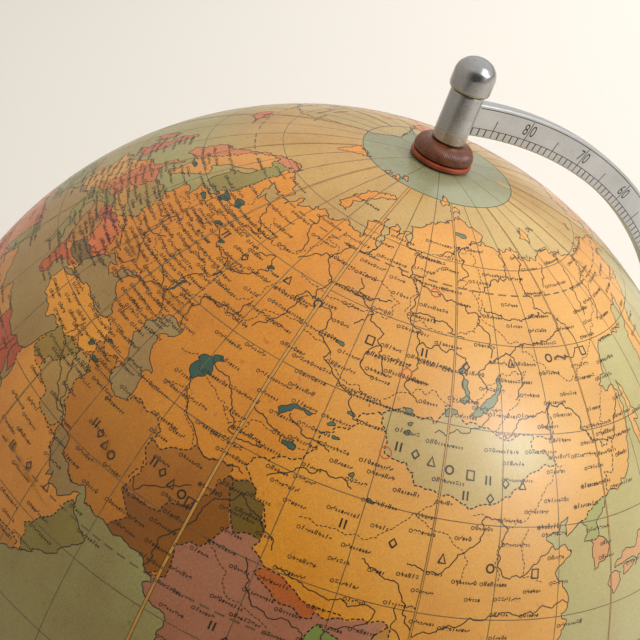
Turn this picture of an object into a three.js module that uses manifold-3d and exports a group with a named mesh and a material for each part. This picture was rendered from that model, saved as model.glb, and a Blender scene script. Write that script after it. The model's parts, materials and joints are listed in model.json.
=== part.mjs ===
// Terrestrial table globe: a papered ball that turns on a tilted axle, held by a half-ring
// meridian arm on a turned wooden foot. Millimetres, +Z up, origin at the centre of the
// underside of the foot. The north pole leans towards +X and the arm lies in the XZ plane.

import * as THREE from 'three';
import { mergeVertices } from 'three/addons/utils/BufferGeometryUtils.js';
import Module from 'manifold-3d';

// ---- Driving dimensions ----------------------------------------------------------------

const gap = 0.3; // between pieces that touch
const ballRadius = 165; // outside of the printed paper
const ballCentreHeight = 265; // above the table
const axisTilt = THREE.MathUtils.degToRad(23.5); // the earth's axis, from the vertical

const paperThickness = 0.4;
const shellThickness = 3;
const goreCount = 12;
const firstSeam = 9.5; // degrees of azimuth from the arm to the first gore seam
const calotteColatitude = 10; // degrees from the pole to the edge of a polar calotte
const gridStep = 10; // degrees, the facets of the ball

const axleRadius = 2.5;
const bushRadius = 4.5;
const washerRadius = 11.5;
const washerThickness = 2.2;
const bossRadius = 11;
const ferruleRadius = 6.25;
const ferruleStart = 173.2; // from the centre of the ball, along the axle
const ferruleEnd = 192.5;

const armInnerRadius = 176.8;
const armOuterRadius = 189.2;
const armThickness = 5;

const footRadius = 95;
const footTop = 34;
const feltThickness = 1.5;
const rodRadius = 3; // tie rod through foot, pillar and saddle
const saddleLength = 36;
const saddleWidth = 12.4;
const saddleTop = 84;
const rivetRadius = 1.6;
const rivetSpacing = 22;

const collarBottom = 56;
const collarHeight = 4;

// ---- Finishes ---------------------------------------------------------------------------

const finish = (color, roughness, metalness) => new THREE.MeshStandardMaterial({ color, roughness, metalness });
const finishes = {
  darkWood: finish(0x6b3219, 0.35, 0),
  rawWood: finish(0xb98d5a, 0.7, 0),
  nickel: finish(0xb4b0a8, 0.35, 1),
  brass: finish(0xb08d4a, 0.35, 1),
  steel: finish(0x8b8b88, 0.4, 1),
  fibre: finish(0xc9683c, 0.6, 0),
  felt: finish(0x3a4a38, 0.95, 0),
  board: finish(0xa39378, 0.9, 0),
  paper: finish(0xd9c9a0, 0.35, 0),
};

// ---- Shape helpers ----------------------------------------------------------------------

const radians = THREE.MathUtils.degToRad;
const wasm = await Module();
wasm.setup();

// Turns a geometry's faces outwards when they all point in.
function outward(geometry) {
  const shape = geometry.index ? geometry.toNonIndexed() : geometry;
  const at = shape.getAttribute('position');
  const corner = (i) => new THREE.Vector3().fromBufferAttribute(at, i);
  let volume = 0;
  for (let i = 0; i < at.count; i += 3) volume += corner(i).dot(corner(i + 1).cross(corner(i + 2)));
  if (volume > 0) return geometry;
  for (let i = 0; i < at.count; i += 3) {
    const [b, c] = [corner(i + 1), corner(i + 2)];
    at.setXYZ(i + 1, c.x, c.y, c.z);
    at.setXYZ(i + 2, b.x, b.y, b.z);
  }
  return shape;
}

// A solid of revolution about Z. The profile is a list of [radius, height] corners that
// starts and ends on the axis, or else is closed here. The facets' corners are at phase degrees.
function turned(profile, segments = 36, phase = 0) {
  const onAxis = profile[0][0] === 0 && profile.at(-1)[0] === 0;
  const loop = onAxis ? profile : [...profile, profile[0]];
  const points = loop.map(([radius, height]) => new THREE.Vector2(radius, height));
  return outward(new THREE.LatheGeometry(points, segments, radians(phase), 2 * Math.PI).rotateX(Math.PI / 2));
}

// A flat plate in the XZ plane, its thickness centred on Y = 0.
function plate(shape, thickness, curveSegments) {
  const geometry = new THREE.ExtrudeGeometry(shape, { depth: thickness, bevelEnabled: false, curveSegments });
  return outward(geometry.rotateX(Math.PI / 2).translate(0, thickness / 2, 0));
}

// A cylinder along Y or Z.
function rod(radius, length, axis, segments = 24) {
  const geometry = new THREE.CylinderGeometry(radius, radius, length, segments);
  return axis === 'z' ? geometry.rotateX(Math.PI / 2) : geometry;
}

function toSolid(geometry) {
  const bare = geometry.clone();
  bare.deleteAttribute('normal');
  bare.deleteAttribute('uv');
  const merged = mergeVertices(bare);
  return new wasm.Manifold(new wasm.Mesh({
    numProp: 3,
    vertProperties: new Float32Array(merged.getAttribute('position').array),
    triVerts: new Uint32Array(merged.index.array),
  }));
}

function fromSolid(solid) {
  const { vertProperties, triVerts } = solid.getMesh();
  const geometry = new THREE.BufferGeometry();
  geometry.setAttribute('position', new THREE.BufferAttribute(new Float32Array(vertProperties), 3));
  geometry.setIndex(new THREE.BufferAttribute(new Uint32Array(triVerts), 1));
  return geometry;
}

// A piece less one or more others.
function cut(geometry, ...tools) {
  return fromSolid(tools.reduce((solid, tool) => solid.subtract(toSolid(tool)), toSolid(geometry)));
}

function part(parent, name, geometry, material) {
  const mesh = new THREE.Mesh(geometry, material);
  mesh.name = name;
  parent.add(mesh);
  return mesh;
}

// Corners of a meridian arc, from one colatitude to another, in [radius, height] form.
function meridian(radius, colatitudes) {
  return colatitudes.map((degrees) => [radius * Math.sin(radians(degrees)), radius * Math.cos(radians(degrees))]);
}

// Colatitudes of the ball's facets between two limits, both included.
function facetRows(from, to) {
  const inner = [5, ...Array.from({ length: 17 }, (_, i) => gridStep * (i + 1)), 175];
  return [from, ...inner.filter((degrees) => degrees > from + 1 && degrees < to - 1), to];
}

// ---- Groups -----------------------------------------------------------------------------

const globe = new THREE.Group();
globe.name = 'terrestrial_globe';

// Everything that follows the earth's axis: local +Z is north, local +X is the arm's side.
const tilted = new THREE.Group();
tilted.position.z = ballCentreHeight;
tilted.rotation.y = axisTilt;
globe.add(tilted);

// ---- Foot, pillar and their tie rod --------------------------------------------------------

const footUnderside = feltThickness + gap;
const rodHole = rodRadius + 0.4;
const recess = { radius: 16, top: 12 };

part(globe, 'foot_felt', turned([
  [0, 0], [footRadius - 3, 0], [footRadius - 3, feltThickness], [0, feltThickness],
]), finishes.felt);

part(globe, 'foot', turned([
  [rodHole, recess.top], [recess.radius, recess.top], [recess.radius, footUnderside],
  [footRadius - 1, footUnderside], [footRadius, footUnderside + 1], [footRadius, 8.5], [footRadius - 2.5, 11],
  [footRadius - 7, 12], [80, 13.5], [62, 17], [48, 22], [38, 26], [37, 27], [37, 30], [34.5, 32.5], [30, footTop],
  [rodHole, footTop],
]), finishes.darkWood);

const washer = { bottom: 9.9, top: recess.top - gap, radius: 9 };
part(globe, 'tie_rod_washer', turned([
  [rodHole, washer.bottom], [washer.radius, washer.bottom], [washer.radius, washer.top], [rodHole, washer.top],
], 24), finishes.steel);

const nut = { bottom: 4.6, top: washer.bottom - gap, corner: 5.8 };
const nutBlank = rod(nut.corner, nut.top - nut.bottom, 'z', 6).translate(0, 0, (nut.top + nut.bottom) / 2);
part(globe, 'tie_rod_nut', cut(nutBlank, rod(rodRadius + gap, 20, 'z', 18).translate(0, 0, nut.bottom)), finishes.steel);

const rodBottom = 3.4;
const rodTop = 69;
part(globe, 'tie_rod', rod(rodRadius, rodTop - rodBottom, 'z', 18).translate(0, 0, (rodTop + rodBottom) / 2), finishes.steel);

part(globe, 'pillar', turned([
  [rodHole, footTop + gap], [22, footTop + gap], [22, 37.5], [19, 39.5], [13, 42], [10.5, 46], [11, 50], [13.5, 53],
  [13.5, collarBottom - gap], [rodHole, collarBottom - gap],
], 24), finishes.darkWood);

part(globe, 'pillar_collar', turned([
  [rodHole, collarBottom], [12.6, collarBottom], [13.4, collarBottom + 1], [13.4, collarBottom + collarHeight - 1],
  [12.6, collarBottom + collarHeight], [rodHole, collarBottom + collarHeight],
], 24), finishes.nickel);

// ---- Saddle: a forked block that straddles the lowest stretch of the arm ---------------------

const saddleBottom = collarBottom + collarHeight + gap;
const saddleOutline = new THREE.Shape();
saddleOutline.moveTo(-11, saddleBottom);
saddleOutline.lineTo(11, saddleBottom);
saddleOutline.quadraticCurveTo(12, 70, saddleLength / 2, 74);
saddleOutline.lineTo(saddleLength / 2, saddleTop - 2);
saddleOutline.lineTo(saddleLength / 2 - 2, saddleTop);
saddleOutline.lineTo(2 - saddleLength / 2, saddleTop);
saddleOutline.lineTo(-saddleLength / 2, saddleTop - 2);
saddleOutline.lineTo(-saddleLength / 2, 74);
saddleOutline.quadraticCurveTo(-12, 70, -11, saddleBottom);

const rivetCircle = armOuterRadius - 3.4;
const rivetHeight = ballCentreHeight - Math.sqrt(rivetCircle ** 2 - (rivetSpacing / 2) ** 2);
const rivetHole = (side) => rod(rivetRadius + gap, 40, 'y', 16).translate(side * rivetSpacing / 2, 0, rivetHeight);
const rivetHoles = [-1, 1].map(rivetHole);

const armSlot = rod(armOuterRadius + gap, armThickness + 2 * gap, 'y', 90).translate(0, 0, ballCentreHeight);
const rodSocket = rod(rodRadius + gap, 2 * (rodTop + 1 - saddleBottom), 'z', 18).translate(0, 0, saddleBottom);
part(globe, 'arm_saddle', cut(plate(saddleOutline, saddleWidth, 5), armSlot, rodSocket, ...rivetHoles), finishes.nickel);

for (const side of [-1, 1]) {
  const face = saddleWidth / 2 + gap;
  const head = { radius: 3.1, height: 1.6 };
  const profile = [
    [0, -face - head.height], [1.8, -face - 0.8 * head.height], [head.radius, -face], [rivetRadius, -face],
    [rivetRadius, face], [head.radius, face], [1.8, face + 0.8 * head.height], [0, face + head.height],
  ];
  const rivet = part(globe, side < 0 ? 'saddle_rivet_1' : 'saddle_rivet_2', turned(profile, 16), finishes.nickel);
  rivet.rotation.x = Math.PI / 2;
  rivet.position.set(side * rivetSpacing / 2, 0, rivetHeight);
}

// ---- Meridian arm: a flat bar bent as a half ring, from pole to pole --------------------------

const armEnd = axleRadius + 0.9; // its ends stop short of the axle, inside the ferrules
const armOutline = new THREE.Shape();
const armAngle = (radius) => Math.acos(armEnd / radius);
armOutline.absarc(0, 0, armOuterRadius, -armAngle(armOuterRadius), armAngle(armOuterRadius), false);
armOutline.absarc(0, 0, armInnerRadius, armAngle(armInnerRadius), -armAngle(armInnerRadius), true);

// The rivet holes stand in the globe's frame, so they are turned back into the arm's.
const backToArm = new THREE.Matrix4().makeRotationY(-axisTilt)
  .multiply(new THREE.Matrix4().makeTranslation(0, 0, -ballCentreHeight));
part(tilted, 'meridian_arm', cut(
  plate(armOutline, armThickness, 32), ...rivetHoles.map((hole) => hole.clone().applyMatrix4(backToArm)),
), finishes.nickel);

// ---- Axle and the hardware of each pole --------------------------------------------------------

const axleEnd = 198;
part(tilted, 'axle_rod', rod(axleRadius, 2 * axleEnd, 'z'), finishes.steel);

const paperInner = ballRadius - paperThickness;
const shellOuter = paperInner - gap - 0.1;
const shellInner = shellOuter - shellThickness;
const innerFace = shellInner - gap; // of what is glued inside the shells
const poleHole = bushRadius + 0.4;
const holeColatitude = THREE.MathUtils.radToDeg(Math.asin(poleHole / ballRadius));
const edgeGap = THREE.MathUtils.radToDeg(gap / 2 / ballRadius);
const axleHole = axleRadius + gap;

for (const [pole, side] of [['north', 1], ['south', -1]]) {
  const mirrored = (profile) => profile.map(([radius, height]) => [radius, side * height]);
  const revolved = (profile, segments, phase) => turned(mirrored(profile), segments, phase);
  const add = (name, geometry, material) => part(tilted, `${pole}_${name}`, geometry, material);

  // Cap nut on the end of the axle.
  const capBottom = ferruleEnd + gap;
  add('cap_nut', revolved([
    [0, axleEnd + gap], [axleHole, axleEnd + gap], [axleHole, capBottom], [7, capBottom], [7.6, capBottom + 1],
    [7.6, capBottom + 6.5], [6.6, capBottom + 9], [4.2, capBottom + 11.2], [0, capBottom + 12.2],
  ], 24), finishes.nickel);

  // Ferrule, slotted on the arm's side to take the end of the arm.
  const slotLength = 10;
  const slotHeight = armOuterRadius - armInnerRadius + 3 * gap;
  const slot = new THREE.BoxGeometry(slotLength, armThickness + 2 * gap, slotHeight)
    .translate(armEnd - gap + slotLength / 2, 0, side * (armInnerRadius + armOuterRadius) / 2);
  add('ferrule', cut(revolved([
    [axleHole, ferruleStart], [ferruleRadius, ferruleStart], [ferruleRadius, ferruleEnd], [axleHole, ferruleEnd],
  ], 36), slot), finishes.nickel);

  // Turned wooden boss between the ferrule and the ball, and the fibre washer it bears on.
  const washerBottom = ballRadius + 0.25;
  const bossBottom = washerBottom + washerThickness + gap;
  add('boss', revolved([
    [axleHole, bossBottom], [bossRadius, bossBottom], [bossRadius, bossBottom + 1.4], [9.6, bossBottom + 3],
    [6.6, ferruleStart - gap - 0.4], [6, ferruleStart - gap], [axleHole, ferruleStart - gap],
  ], 24), finishes.darkWood);
  add('fibre_washer', revolved([
    [axleHole, washerBottom], [washerRadius, washerBottom], [washerRadius, washerBottom + washerThickness],
    [axleHole, washerBottom + washerThickness],
  ], 24), finishes.fibre);

  // Flanged bush in a wooden block glued inside the pole.
  const block = { radius: 22, bottom: 150 };
  const underShell = (radius) => Math.sqrt(innerFace ** 2 - radius ** 2);
  add('pole_block', revolved([
    [bushRadius + gap, block.bottom], [block.radius, block.bottom], [block.radius, underShell(block.radius)],
    [14, underShell(14)], [bushRadius + gap, underShell(bushRadius + gap)],
  ], 36, firstSeam), finishes.rawWood);
  const flange = { radius: 9, bottom: block.bottom - gap - 2 };
  add('bush', revolved([
    [axleRadius + 0.2, flange.bottom], [flange.radius, flange.bottom], [flange.radius, flange.bottom + 2],
    [bushRadius, flange.bottom + 2], [bushRadius, ballRadius - 0.1], [axleRadius + 0.2, ballRadius - 0.1],
  ], 24), finishes.brass);

  // Papier-mache half of the ball, and the round paper that covers its pole.
  const shellRows = facetRows(holeColatitude, 90);
  const wall = [...meridian(shellOuter, shellRows), ...meridian(shellInner, shellRows).reverse()]
    .map(([radius, height]) => [radius, Math.max(height, gap / 2)]);
  part(tilted, side > 0 ? 'upper_shell' : 'lower_shell', revolved(wall, 36, firstSeam), finishes.board);
  const calotteRows = facetRows(holeColatitude, calotteColatitude - edgeGap);
  add('calotte', revolved([
    ...meridian(ballRadius, calotteRows), ...meridian(paperInner, calotteRows).reverse(),
  ], 36, firstSeam), finishes.paper);
}

// Hoop glued inside the joint of the two halves.
const hoop = { outer: innerFace - 0.8, inner: innerFace - 3.3, halfHeight: 8 };
part(tilted, 'equator_hoop', turned([
  [hoop.outer, -hoop.halfHeight], [hoop.outer, hoop.halfHeight],
  [hoop.inner, hoop.halfHeight], [hoop.inner, -hoop.halfHeight],
], 36, firstSeam), finishes.board);

// ---- Printed gores: lens-shaped strips of paper from one calotte to the other -------------------

// A strip between two meridians and two parallels, as a closed sheet. Its long edges stand
// half a gap back from the seams.
function gore(west) {
  const rows = facetRows(calotteColatitude + edgeGap, 180 - calotteColatitude - edgeGap);
  const columns = 360 / goreCount / gridStep;
  const positions = [];
  for (const radius of [ballRadius, paperInner]) {
    for (const row of rows) {
      const setBack = THREE.MathUtils.radToDeg(Math.asin(gap / 2 / (ballRadius * Math.sin(radians(row)))));
      for (let i = 0; i <= columns; i += 1) {
        const inset = i === 0 ? setBack : i === columns ? -setBack : 0;
        const azimuth = radians(west + gridStep * i + inset);
        const ring = radius * Math.sin(radians(row));
        positions.push(ring * Math.cos(azimuth), ring * Math.sin(azimuth), radius * Math.cos(radians(row)));
      }
    }
  }
  const width = columns + 1;
  const inner = rows.length * width;
  const triangles = [];
  const quad = (a, b, c, d) => triangles.push(a, b, c, a, c, d);
  for (let row = 0; row < rows.length - 1; row += 1) {
    for (let i = 0; i < columns; i += 1) {
      const a = row * width + i;
      quad(a, a + width, a + width + 1, a + 1);
      quad(inner + a, inner + a + 1, inner + a + width + 1, inner + a + width);
    }
    for (const [edge, step] of [[row * width, 0], [row * width + columns, 1]]) {
      const ring = [edge, edge + inner, edge + inner + width, edge + width];
      quad(...(step ? ring.reverse() : ring));
    }
  }
  for (let i = 0; i < columns; i += 1) {
    quad(i, i + 1, inner + i + 1, inner + i);
    const last = (rows.length - 1) * width + i;
    quad(last, inner + last, inner + last + 1, last + 1);
  }
  const geometry = new THREE.BufferGeometry();
  geometry.setAttribute('position', new THREE.Float32BufferAttribute(positions, 3));
  geometry.setIndex(triangles);
  return outward(geometry);
}

for (let i = 0; i < goreCount; i += 1) {
  const name = `gore_${String(i + 1).padStart(2, '0')}`;
  part(tilted, name, gore(firstSeam + (360 / goreCount) * i), finishes.paper);
}

export default globe;
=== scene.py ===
"""A terrestrial table globe: a papered ball that turns on a tilted axle, a plated half-ring
meridian arm with a scale of degrees, and a turned wooden foot."""
import json
import math

import bmesh
import bpy
import numpy as np
from mathutils import Matrix, Vector, geometry


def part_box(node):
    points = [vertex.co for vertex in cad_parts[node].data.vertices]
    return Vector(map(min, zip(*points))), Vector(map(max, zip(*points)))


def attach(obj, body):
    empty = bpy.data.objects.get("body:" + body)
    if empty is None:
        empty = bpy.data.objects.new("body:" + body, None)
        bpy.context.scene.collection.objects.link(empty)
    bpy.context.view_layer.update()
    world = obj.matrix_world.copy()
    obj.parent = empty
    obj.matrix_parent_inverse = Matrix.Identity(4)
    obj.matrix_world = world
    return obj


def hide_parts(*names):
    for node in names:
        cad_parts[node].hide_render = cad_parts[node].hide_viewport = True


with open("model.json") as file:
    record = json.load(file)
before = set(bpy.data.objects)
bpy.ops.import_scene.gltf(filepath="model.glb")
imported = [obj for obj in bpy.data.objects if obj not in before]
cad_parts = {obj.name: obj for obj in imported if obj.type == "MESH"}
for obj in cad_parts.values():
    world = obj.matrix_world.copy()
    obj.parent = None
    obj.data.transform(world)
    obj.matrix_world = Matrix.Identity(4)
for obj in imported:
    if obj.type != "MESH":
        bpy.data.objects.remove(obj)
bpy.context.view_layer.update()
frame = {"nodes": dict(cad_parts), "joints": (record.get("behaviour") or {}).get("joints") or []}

# ---- Viewpoint -------------------------------------------------------------------------------
# The eye stands above the ball's left shoulder and looks down past the north pole, so that
# Central Asia faces it and the arm rises on the right. Lengths are in ball radii.

spin = frame["joints"][0]
ball_centre = np.array(spin["pos_m"])
north = np.array(spin["axis"])  # along the axle, towards the north pole
arm_side = np.array([north[2], 0.0, -north[0]])  # square to the axle, towards the arm
ball_radius = 0.165  # outside of the printed paper


def heading_vector(azimuth, elevation):
    """Unit vector that points azimuth degrees from +Y towards +X, elevation degrees up."""
    a, e = math.radians(azimuth), math.radians(elevation)
    return np.array([math.sin(a) * math.cos(e), math.cos(a) * math.cos(e), math.sin(e)])


def make_camera():
    eye_distance, eye_azimuth, eye_elevation = 3.188, 198.41, 50.23
    look_azimuth, look_elevation, head_tilt = 20.72, -42.27, 4.54
    eye = ball_centre + eye_distance * ball_radius * heading_vector(eye_azimuth, eye_elevation)
    ahead = Vector(heading_vector(look_azimuth, look_elevation))
    level = ahead.cross(Vector((0, 0, 1))).normalized()
    tip = Matrix.Rotation(math.radians(head_tilt), 3, ahead)
    right = tip @ level
    above = right.cross(ahead)
    turn = Matrix((right, above, -ahead)).transposed()
    camera = bpy.data.objects.new("camera", bpy.data.cameras.new("camera"))
    camera.matrix_world = Matrix.Translation(eye) @ turn.to_4x4()
    camera.data.lens = 67.7
    camera.data.sensor_width = 36
    bpy.context.scene.collection.objects.link(camera)
    bpy.context.scene.camera = camera


make_camera()

# ---- Table and daylight ------------------------------------------------------------------------
# A plain pale table in a pale room that is dim on the left. Two windows at the right put the sheen
# on the varnish, and two more, high up and behind, light the ball without being mirrored in it.

bpy.context.scene.view_settings.view_transform = "Standard"


def make_table():
    half = 14.0
    corners = [(-half, -half, 0), (half, -half, 0), (half, half, 0), (-half, half, 0)]
    mesh = bpy.data.meshes.new("table_top")
    mesh.from_pydata(corners, [], [(0, 1, 2, 3)])
    table = bpy.data.objects.new("table_top", mesh)
    bpy.context.scene.collection.objects.link(table)
    paint = bpy.data.materials.new("table_paint")
    paint.use_nodes = True
    shader = paint.node_tree.nodes["Principled BSDF"]
    shader.inputs["Base Color"].default_value = (0.72, 0.68, 0.62, 1)
    shader.inputs["Roughness"].default_value = 0.6
    mesh.materials.append(paint)


def window(name, azimuth, elevation, distance, width, height, watts, colour, sheen=True):
    """A flat lamp that faces the ball from the given direction. Without sheen, it lights the
    pieces but isn't mirrored in their gloss."""
    away = Vector(heading_vector(azimuth, elevation))
    lamp = bpy.data.lights.new(name, "AREA")
    lamp.shape, lamp.size, lamp.size_y = "RECTANGLE", width, height
    lamp.energy, lamp.color = watts, colour
    holder = bpy.data.objects.new(name, lamp)
    holder.matrix_world = Matrix.Translation(Vector(ball_centre) + distance * away) @ (
        away.to_track_quat("Z", "Y").to_matrix().to_4x4())
    holder.visible_glossy = sheen
    bpy.context.scene.collection.objects.link(holder)


def make_room():
    """The room round the table: pale on the window side, dimmer and warmer on the other, and
    dark where the onlooker stands. Each is a ramp of how nearly a direction points there."""
    room = bpy.data.worlds.new("room")
    room.use_nodes = True
    nodes, links = room.node_tree.nodes, room.node_tree.links
    direction = nodes.new("ShaderNodeTexCoord").outputs["Generated"]

    def facing(azimuth, elevation, low, high, start, end):
        dot = nodes.new("ShaderNodeVectorMath")
        dot.operation = "DOT_PRODUCT"
        links.new(direction, dot.inputs[0])
        dot.inputs[1].default_value = heading_vector(azimuth, elevation)
        ramp = nodes.new("ShaderNodeMapRange")
        links.new(dot.outputs["Value"], ramp.inputs[0])
        for socket, value in enumerate((low, high, start, end), 1):
            ramp.inputs[socket].default_value = value
        return ramp.outputs[0]

    bright = nodes.new("ShaderNodeMath")
    bright.operation = "MULTIPLY"
    links.new(facing(100, 25, -0.9, 0.9, 0.48, 0.88), bright.inputs[0])
    links.new(facing(200, 18, 0.5, 0.95, 1.0, 0.15), bright.inputs[1])
    tint = nodes.new("ShaderNodeMix")
    tint.data_type = "RGBA"
    links.new(facing(100, 10, -0.7, 0.5, 0.0, 1.0), tint.inputs["Factor"])
    tint.inputs[6].default_value = (1.0, 0.93, 0.82, 1)
    tint.inputs[7].default_value = (1.0, 0.995, 0.98, 1)
    links.new(tint.outputs[2], nodes["Background"].inputs["Color"])
    links.new(bright.outputs[0], nodes["Background"].inputs["Strength"])
    bpy.context.scene.world = room


def make_daylight():
    window("side_window", 130, 30, 1.6, 0.9, 1.2, 8, (1.0, 0.97, 0.92))
    window("high_window", 60, 62, 2.2, 1.4, 1.4, 12, (1.0, 0.98, 0.95), False)
    window("back_window", 52, 28, 1.5, 0.9, 0.9, 8, (1.0, 1.0, 1.0), False)
    window("narrow_window", 128, 30, 1.6, 0.3, 0.4, 4, (0.96, 0.98, 1.0))
    make_room()


make_table()
make_daylight()

# ---- Turned foot and pillar ---------------------------------------------------------------------
# Beech, stained dark red-brown and polished on the lathe: a dished foot with a rounded rim, and
# a short baluster. A tie rod from a nut in the foot's recess pulls foot, pillar and saddle together.


class Flow:
    """A shader socket that takes part in sums and products like a number."""

    def __init__(self, finish, socket):
        self.finish, self.socket = finish, socket

    def maths(self, operation, *values):
        return self.finish.add("ShaderNodeMath", {"operation": operation}, dict(enumerate(values)))

    def __add__(self, other):
        return self.maths("ADD", self, other)

    def __sub__(self, other):
        return self.maths("SUBTRACT", self, other)

    def __rsub__(self, other):
        return self.maths("SUBTRACT", other, self)

    def __mul__(self, other):
        return self.maths("MULTIPLY", self, other)

    __radd__ = __add__
    __rmul__ = __mul__

    def ramp(self, low, high, start=0.0, end=1.0):
        """start at low, end at high, and a straight line between them."""
        limits = {0: self, 1: low, 2: high, 3: start, 4: end}
        return self.finish.add("ShaderNodeMapRange", {"clamp": True}, limits)


class Finish:
    """A material that is being built: its nodes, and its one Principled shader."""

    def __init__(self, name, colour, roughness, metallic=0.0, **sockets):
        self.material = bpy.data.materials.new(name)
        self.material.use_nodes = True
        self.nodes = self.material.node_tree.nodes
        self.shader = self.nodes["Principled BSDF"]
        self.place = self.add("ShaderNodeTexCoord", {}, {}, "Object")
        self.give("Base Color", colour)
        self.give("Roughness", roughness)
        self.give("Metallic", metallic)
        for socket, value in sockets.items():
            self.give(socket.replace("_", " "), value)

    def add(self, kind, settings, values, output=0):
        """A node of a kind, its settings first and then its sockets' values or links."""
        node = self.nodes.new(kind)
        for setting, value in settings.items():
            setattr(node, setting, value)
        for socket, value in values.items():
            self.join(node.inputs[socket], value)
        return Flow(self, node.outputs[output])

    def join(self, socket, value):
        if isinstance(value, Flow):
            self.material.node_tree.links.new(value.socket, socket)
        elif isinstance(value, tuple) and len(value) == 3 and socket.type == "RGBA":
            socket.default_value = (*value, 1.0)
        else:
            socket.default_value = value

    def give(self, socket, value):
        self.join(self.shader.inputs[socket], value)

    def stretched(self, scale, turn=(0.0, 0.0, 0.0)):
        values = {"Vector": self.place, "Scale": scale, "Rotation": turn}
        return self.add("ShaderNodeMapping", {}, values)

    def noise(self, scale, detail=3.0, place=None, roughness=0.55):
        values = {"Vector": place or self.place, "Scale": scale, "Detail": detail, "Roughness": roughness}
        return self.add("ShaderNodeTexNoise", {}, values)

    def blend(self, factor, first, second, kind="MIX"):
        """The first colour where the factor is 0, the second where it is 1."""
        values = {"Factor": factor, 6: first, 7: second}
        return self.add("ShaderNodeMix", {"data_type": "RGBA", "blend_type": kind}, values, 2)

    def relief(self, height, depth, strength=1.0):
        """Bumps of a given depth in metres."""
        self.give("Normal", self.add("ShaderNodeBump", {}, {
            "Height": height, "Distance": depth, "Strength": strength}))


def linear(code):
    """A colour written as six hexadecimal digits, as the three numbers that shaders take."""
    parts = np.array([int(code[i:i + 2], 16) for i in (0, 2, 4)]) / 255
    light = np.where(parts <= 0.04045, parts / 12.92, ((parts + 0.055) / 1.055) ** 2.4)
    return tuple(float(v) for v in light)


def stained_wood(name, grain_axis):
    """Close straight grain along one direction, darker in its pores and worn paler in patches."""
    wood = Finish(name, (0, 0, 0), 0.32, Coat_Weight=0.3, Coat_Roughness=0.14)
    along = Vector(grain_axis).to_track_quat("Z", "Y").inverted().to_euler()
    grain = wood.stretched((1.0, 1.0, 0.05), tuple(along))
    pores = wood.noise(2600, 4, grain).ramp(0.46, 0.7)
    figure = wood.noise(420, 4, grain).ramp(0.3, 0.7)
    wear = wood.noise(60, 5).ramp(0.45, 0.75)
    tone = wood.blend(figure, linear("58260d"), linear("84451c"))
    tone = wood.blend(wear * 0.35, tone, linear("a8643a"))
    wood.give("Base Color", wood.blend(pores * 0.6, tone, linear("33130a")))
    wood.give("Roughness", figure.ramp(0, 1, 0.36, 0.26))
    wood.relief(pores, 0.00006, 0.5)
    return wood.material


def rounded(corners, radius, steps=4):
    """A profile with each inner corner replaced by a short curve that cuts radius back from it."""
    points = [corners[0]]
    for before, corner, after in zip(corners, corners[1:], corners[2:]):
        corner = np.array(corner, float)
        arms = [np.array(end, float) - corner for end in (before, after)]
        cuts = [corner + arm * min(radius / np.linalg.norm(arm), 0.45) for arm in arms]
        for t in np.linspace(0, 1, steps + 1):
            points.append((1 - t) ** 2 * cuts[0] + 2 * t * (1 - t) * corner + t ** 2 * cuts[1])
    return np.array([*points, corners[-1]], float)


def show(piece, body, material, nodes=()):
    """Puts a finished mesh in the scene, on its body, in place of the nodes it stands for."""
    piece.data.materials.append(material)
    bpy.context.scene.collection.objects.link(piece)
    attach(piece, body)
    if nodes:
        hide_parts(*nodes)
    return piece


def mesh_piece(name, points, faces, crease=35):
    """A closed mesh with its doubles merged, its faces outwards and its sharp edges kept."""
    mesh = bpy.data.meshes.new(name)
    mesh.from_pydata(np.asarray(points).tolist(), [], np.asarray(faces).tolist())
    shape = bmesh.new()
    shape.from_mesh(mesh)
    bmesh.ops.remove_doubles(shape, verts=shape.verts, dist=1e-7)
    bmesh.ops.recalc_face_normals(shape, faces=shape.faces)
    shape.to_mesh(mesh)
    shape.free()
    mesh.polygons.foreach_set("use_smooth", [True] * len(mesh.polygons))
    mesh.set_sharp_from_angle(angle=math.radians(crease))
    return bpy.data.objects.new(name, mesh)


def turned(name, profile, origin=(0, 0, 0), axis=(0, 0, 1), sectors=96):
    """A closed profile of (radius, height) pairs in millimetres, turned about an axis: the point
    at angle t is origin + axis * height + radius * (cos t across + sin t aside)."""
    profile = np.asarray(profile) / 1000
    axis = np.asarray(axis, float)
    across = np.cross([0.0, 1.0, 0.0], axis)
    across = across / np.linalg.norm(across)
    aside = np.cross(axis, across)
    t = np.linspace(0, 2 * math.pi, sectors, endpoint=False)[:, None, None]
    ring = np.cos(t) * across + np.sin(t) * aside
    points = np.asarray(origin) + profile[None, :, 1:] * axis + profile[None, :, :1] * ring
    count = len(profile)
    i, j = np.meshgrid(np.arange(sectors), np.arange(count), indexing="ij")
    k, m = (i + 1) % sectors, (j + 1) % count
    faces = np.stack([i * count + j, k * count + j, k * count + m, i * count + m], -1).reshape(-1, 4)
    return mesh_piece(name, points.reshape(-1, 3), faces)


dark_wood = stained_wood("stained_beech", (1, 0, 0))
foot_profile = rounded([
    (3.4, 12), (16, 12), (16, 1.8), (94, 1.8), (95, 3.2), (95, 8), (92.6, 11), (88, 12), (80, 13.4), (62, 17),
    (48, 22), (38.4, 26), (37, 27.2), (37, 30), (34.5, 32.6), (30, 34), (3.4, 34)], 1.4)
show(turned("turned_foot", foot_profile, sectors=160), "stand", dark_wood, ["foot"])

pillar_profile = rounded([
    (3.4, 34.3), (22, 34.3), (22, 37.5), (19, 39.5), (13, 42), (10.5, 46), (11, 50), (13.5, 53), (13.5, 55.7),
    (3.4, 55.7)], 1.1)
show(turned("turned_pillar", pillar_profile), "stand", dark_wood, ["pillar"])


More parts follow.
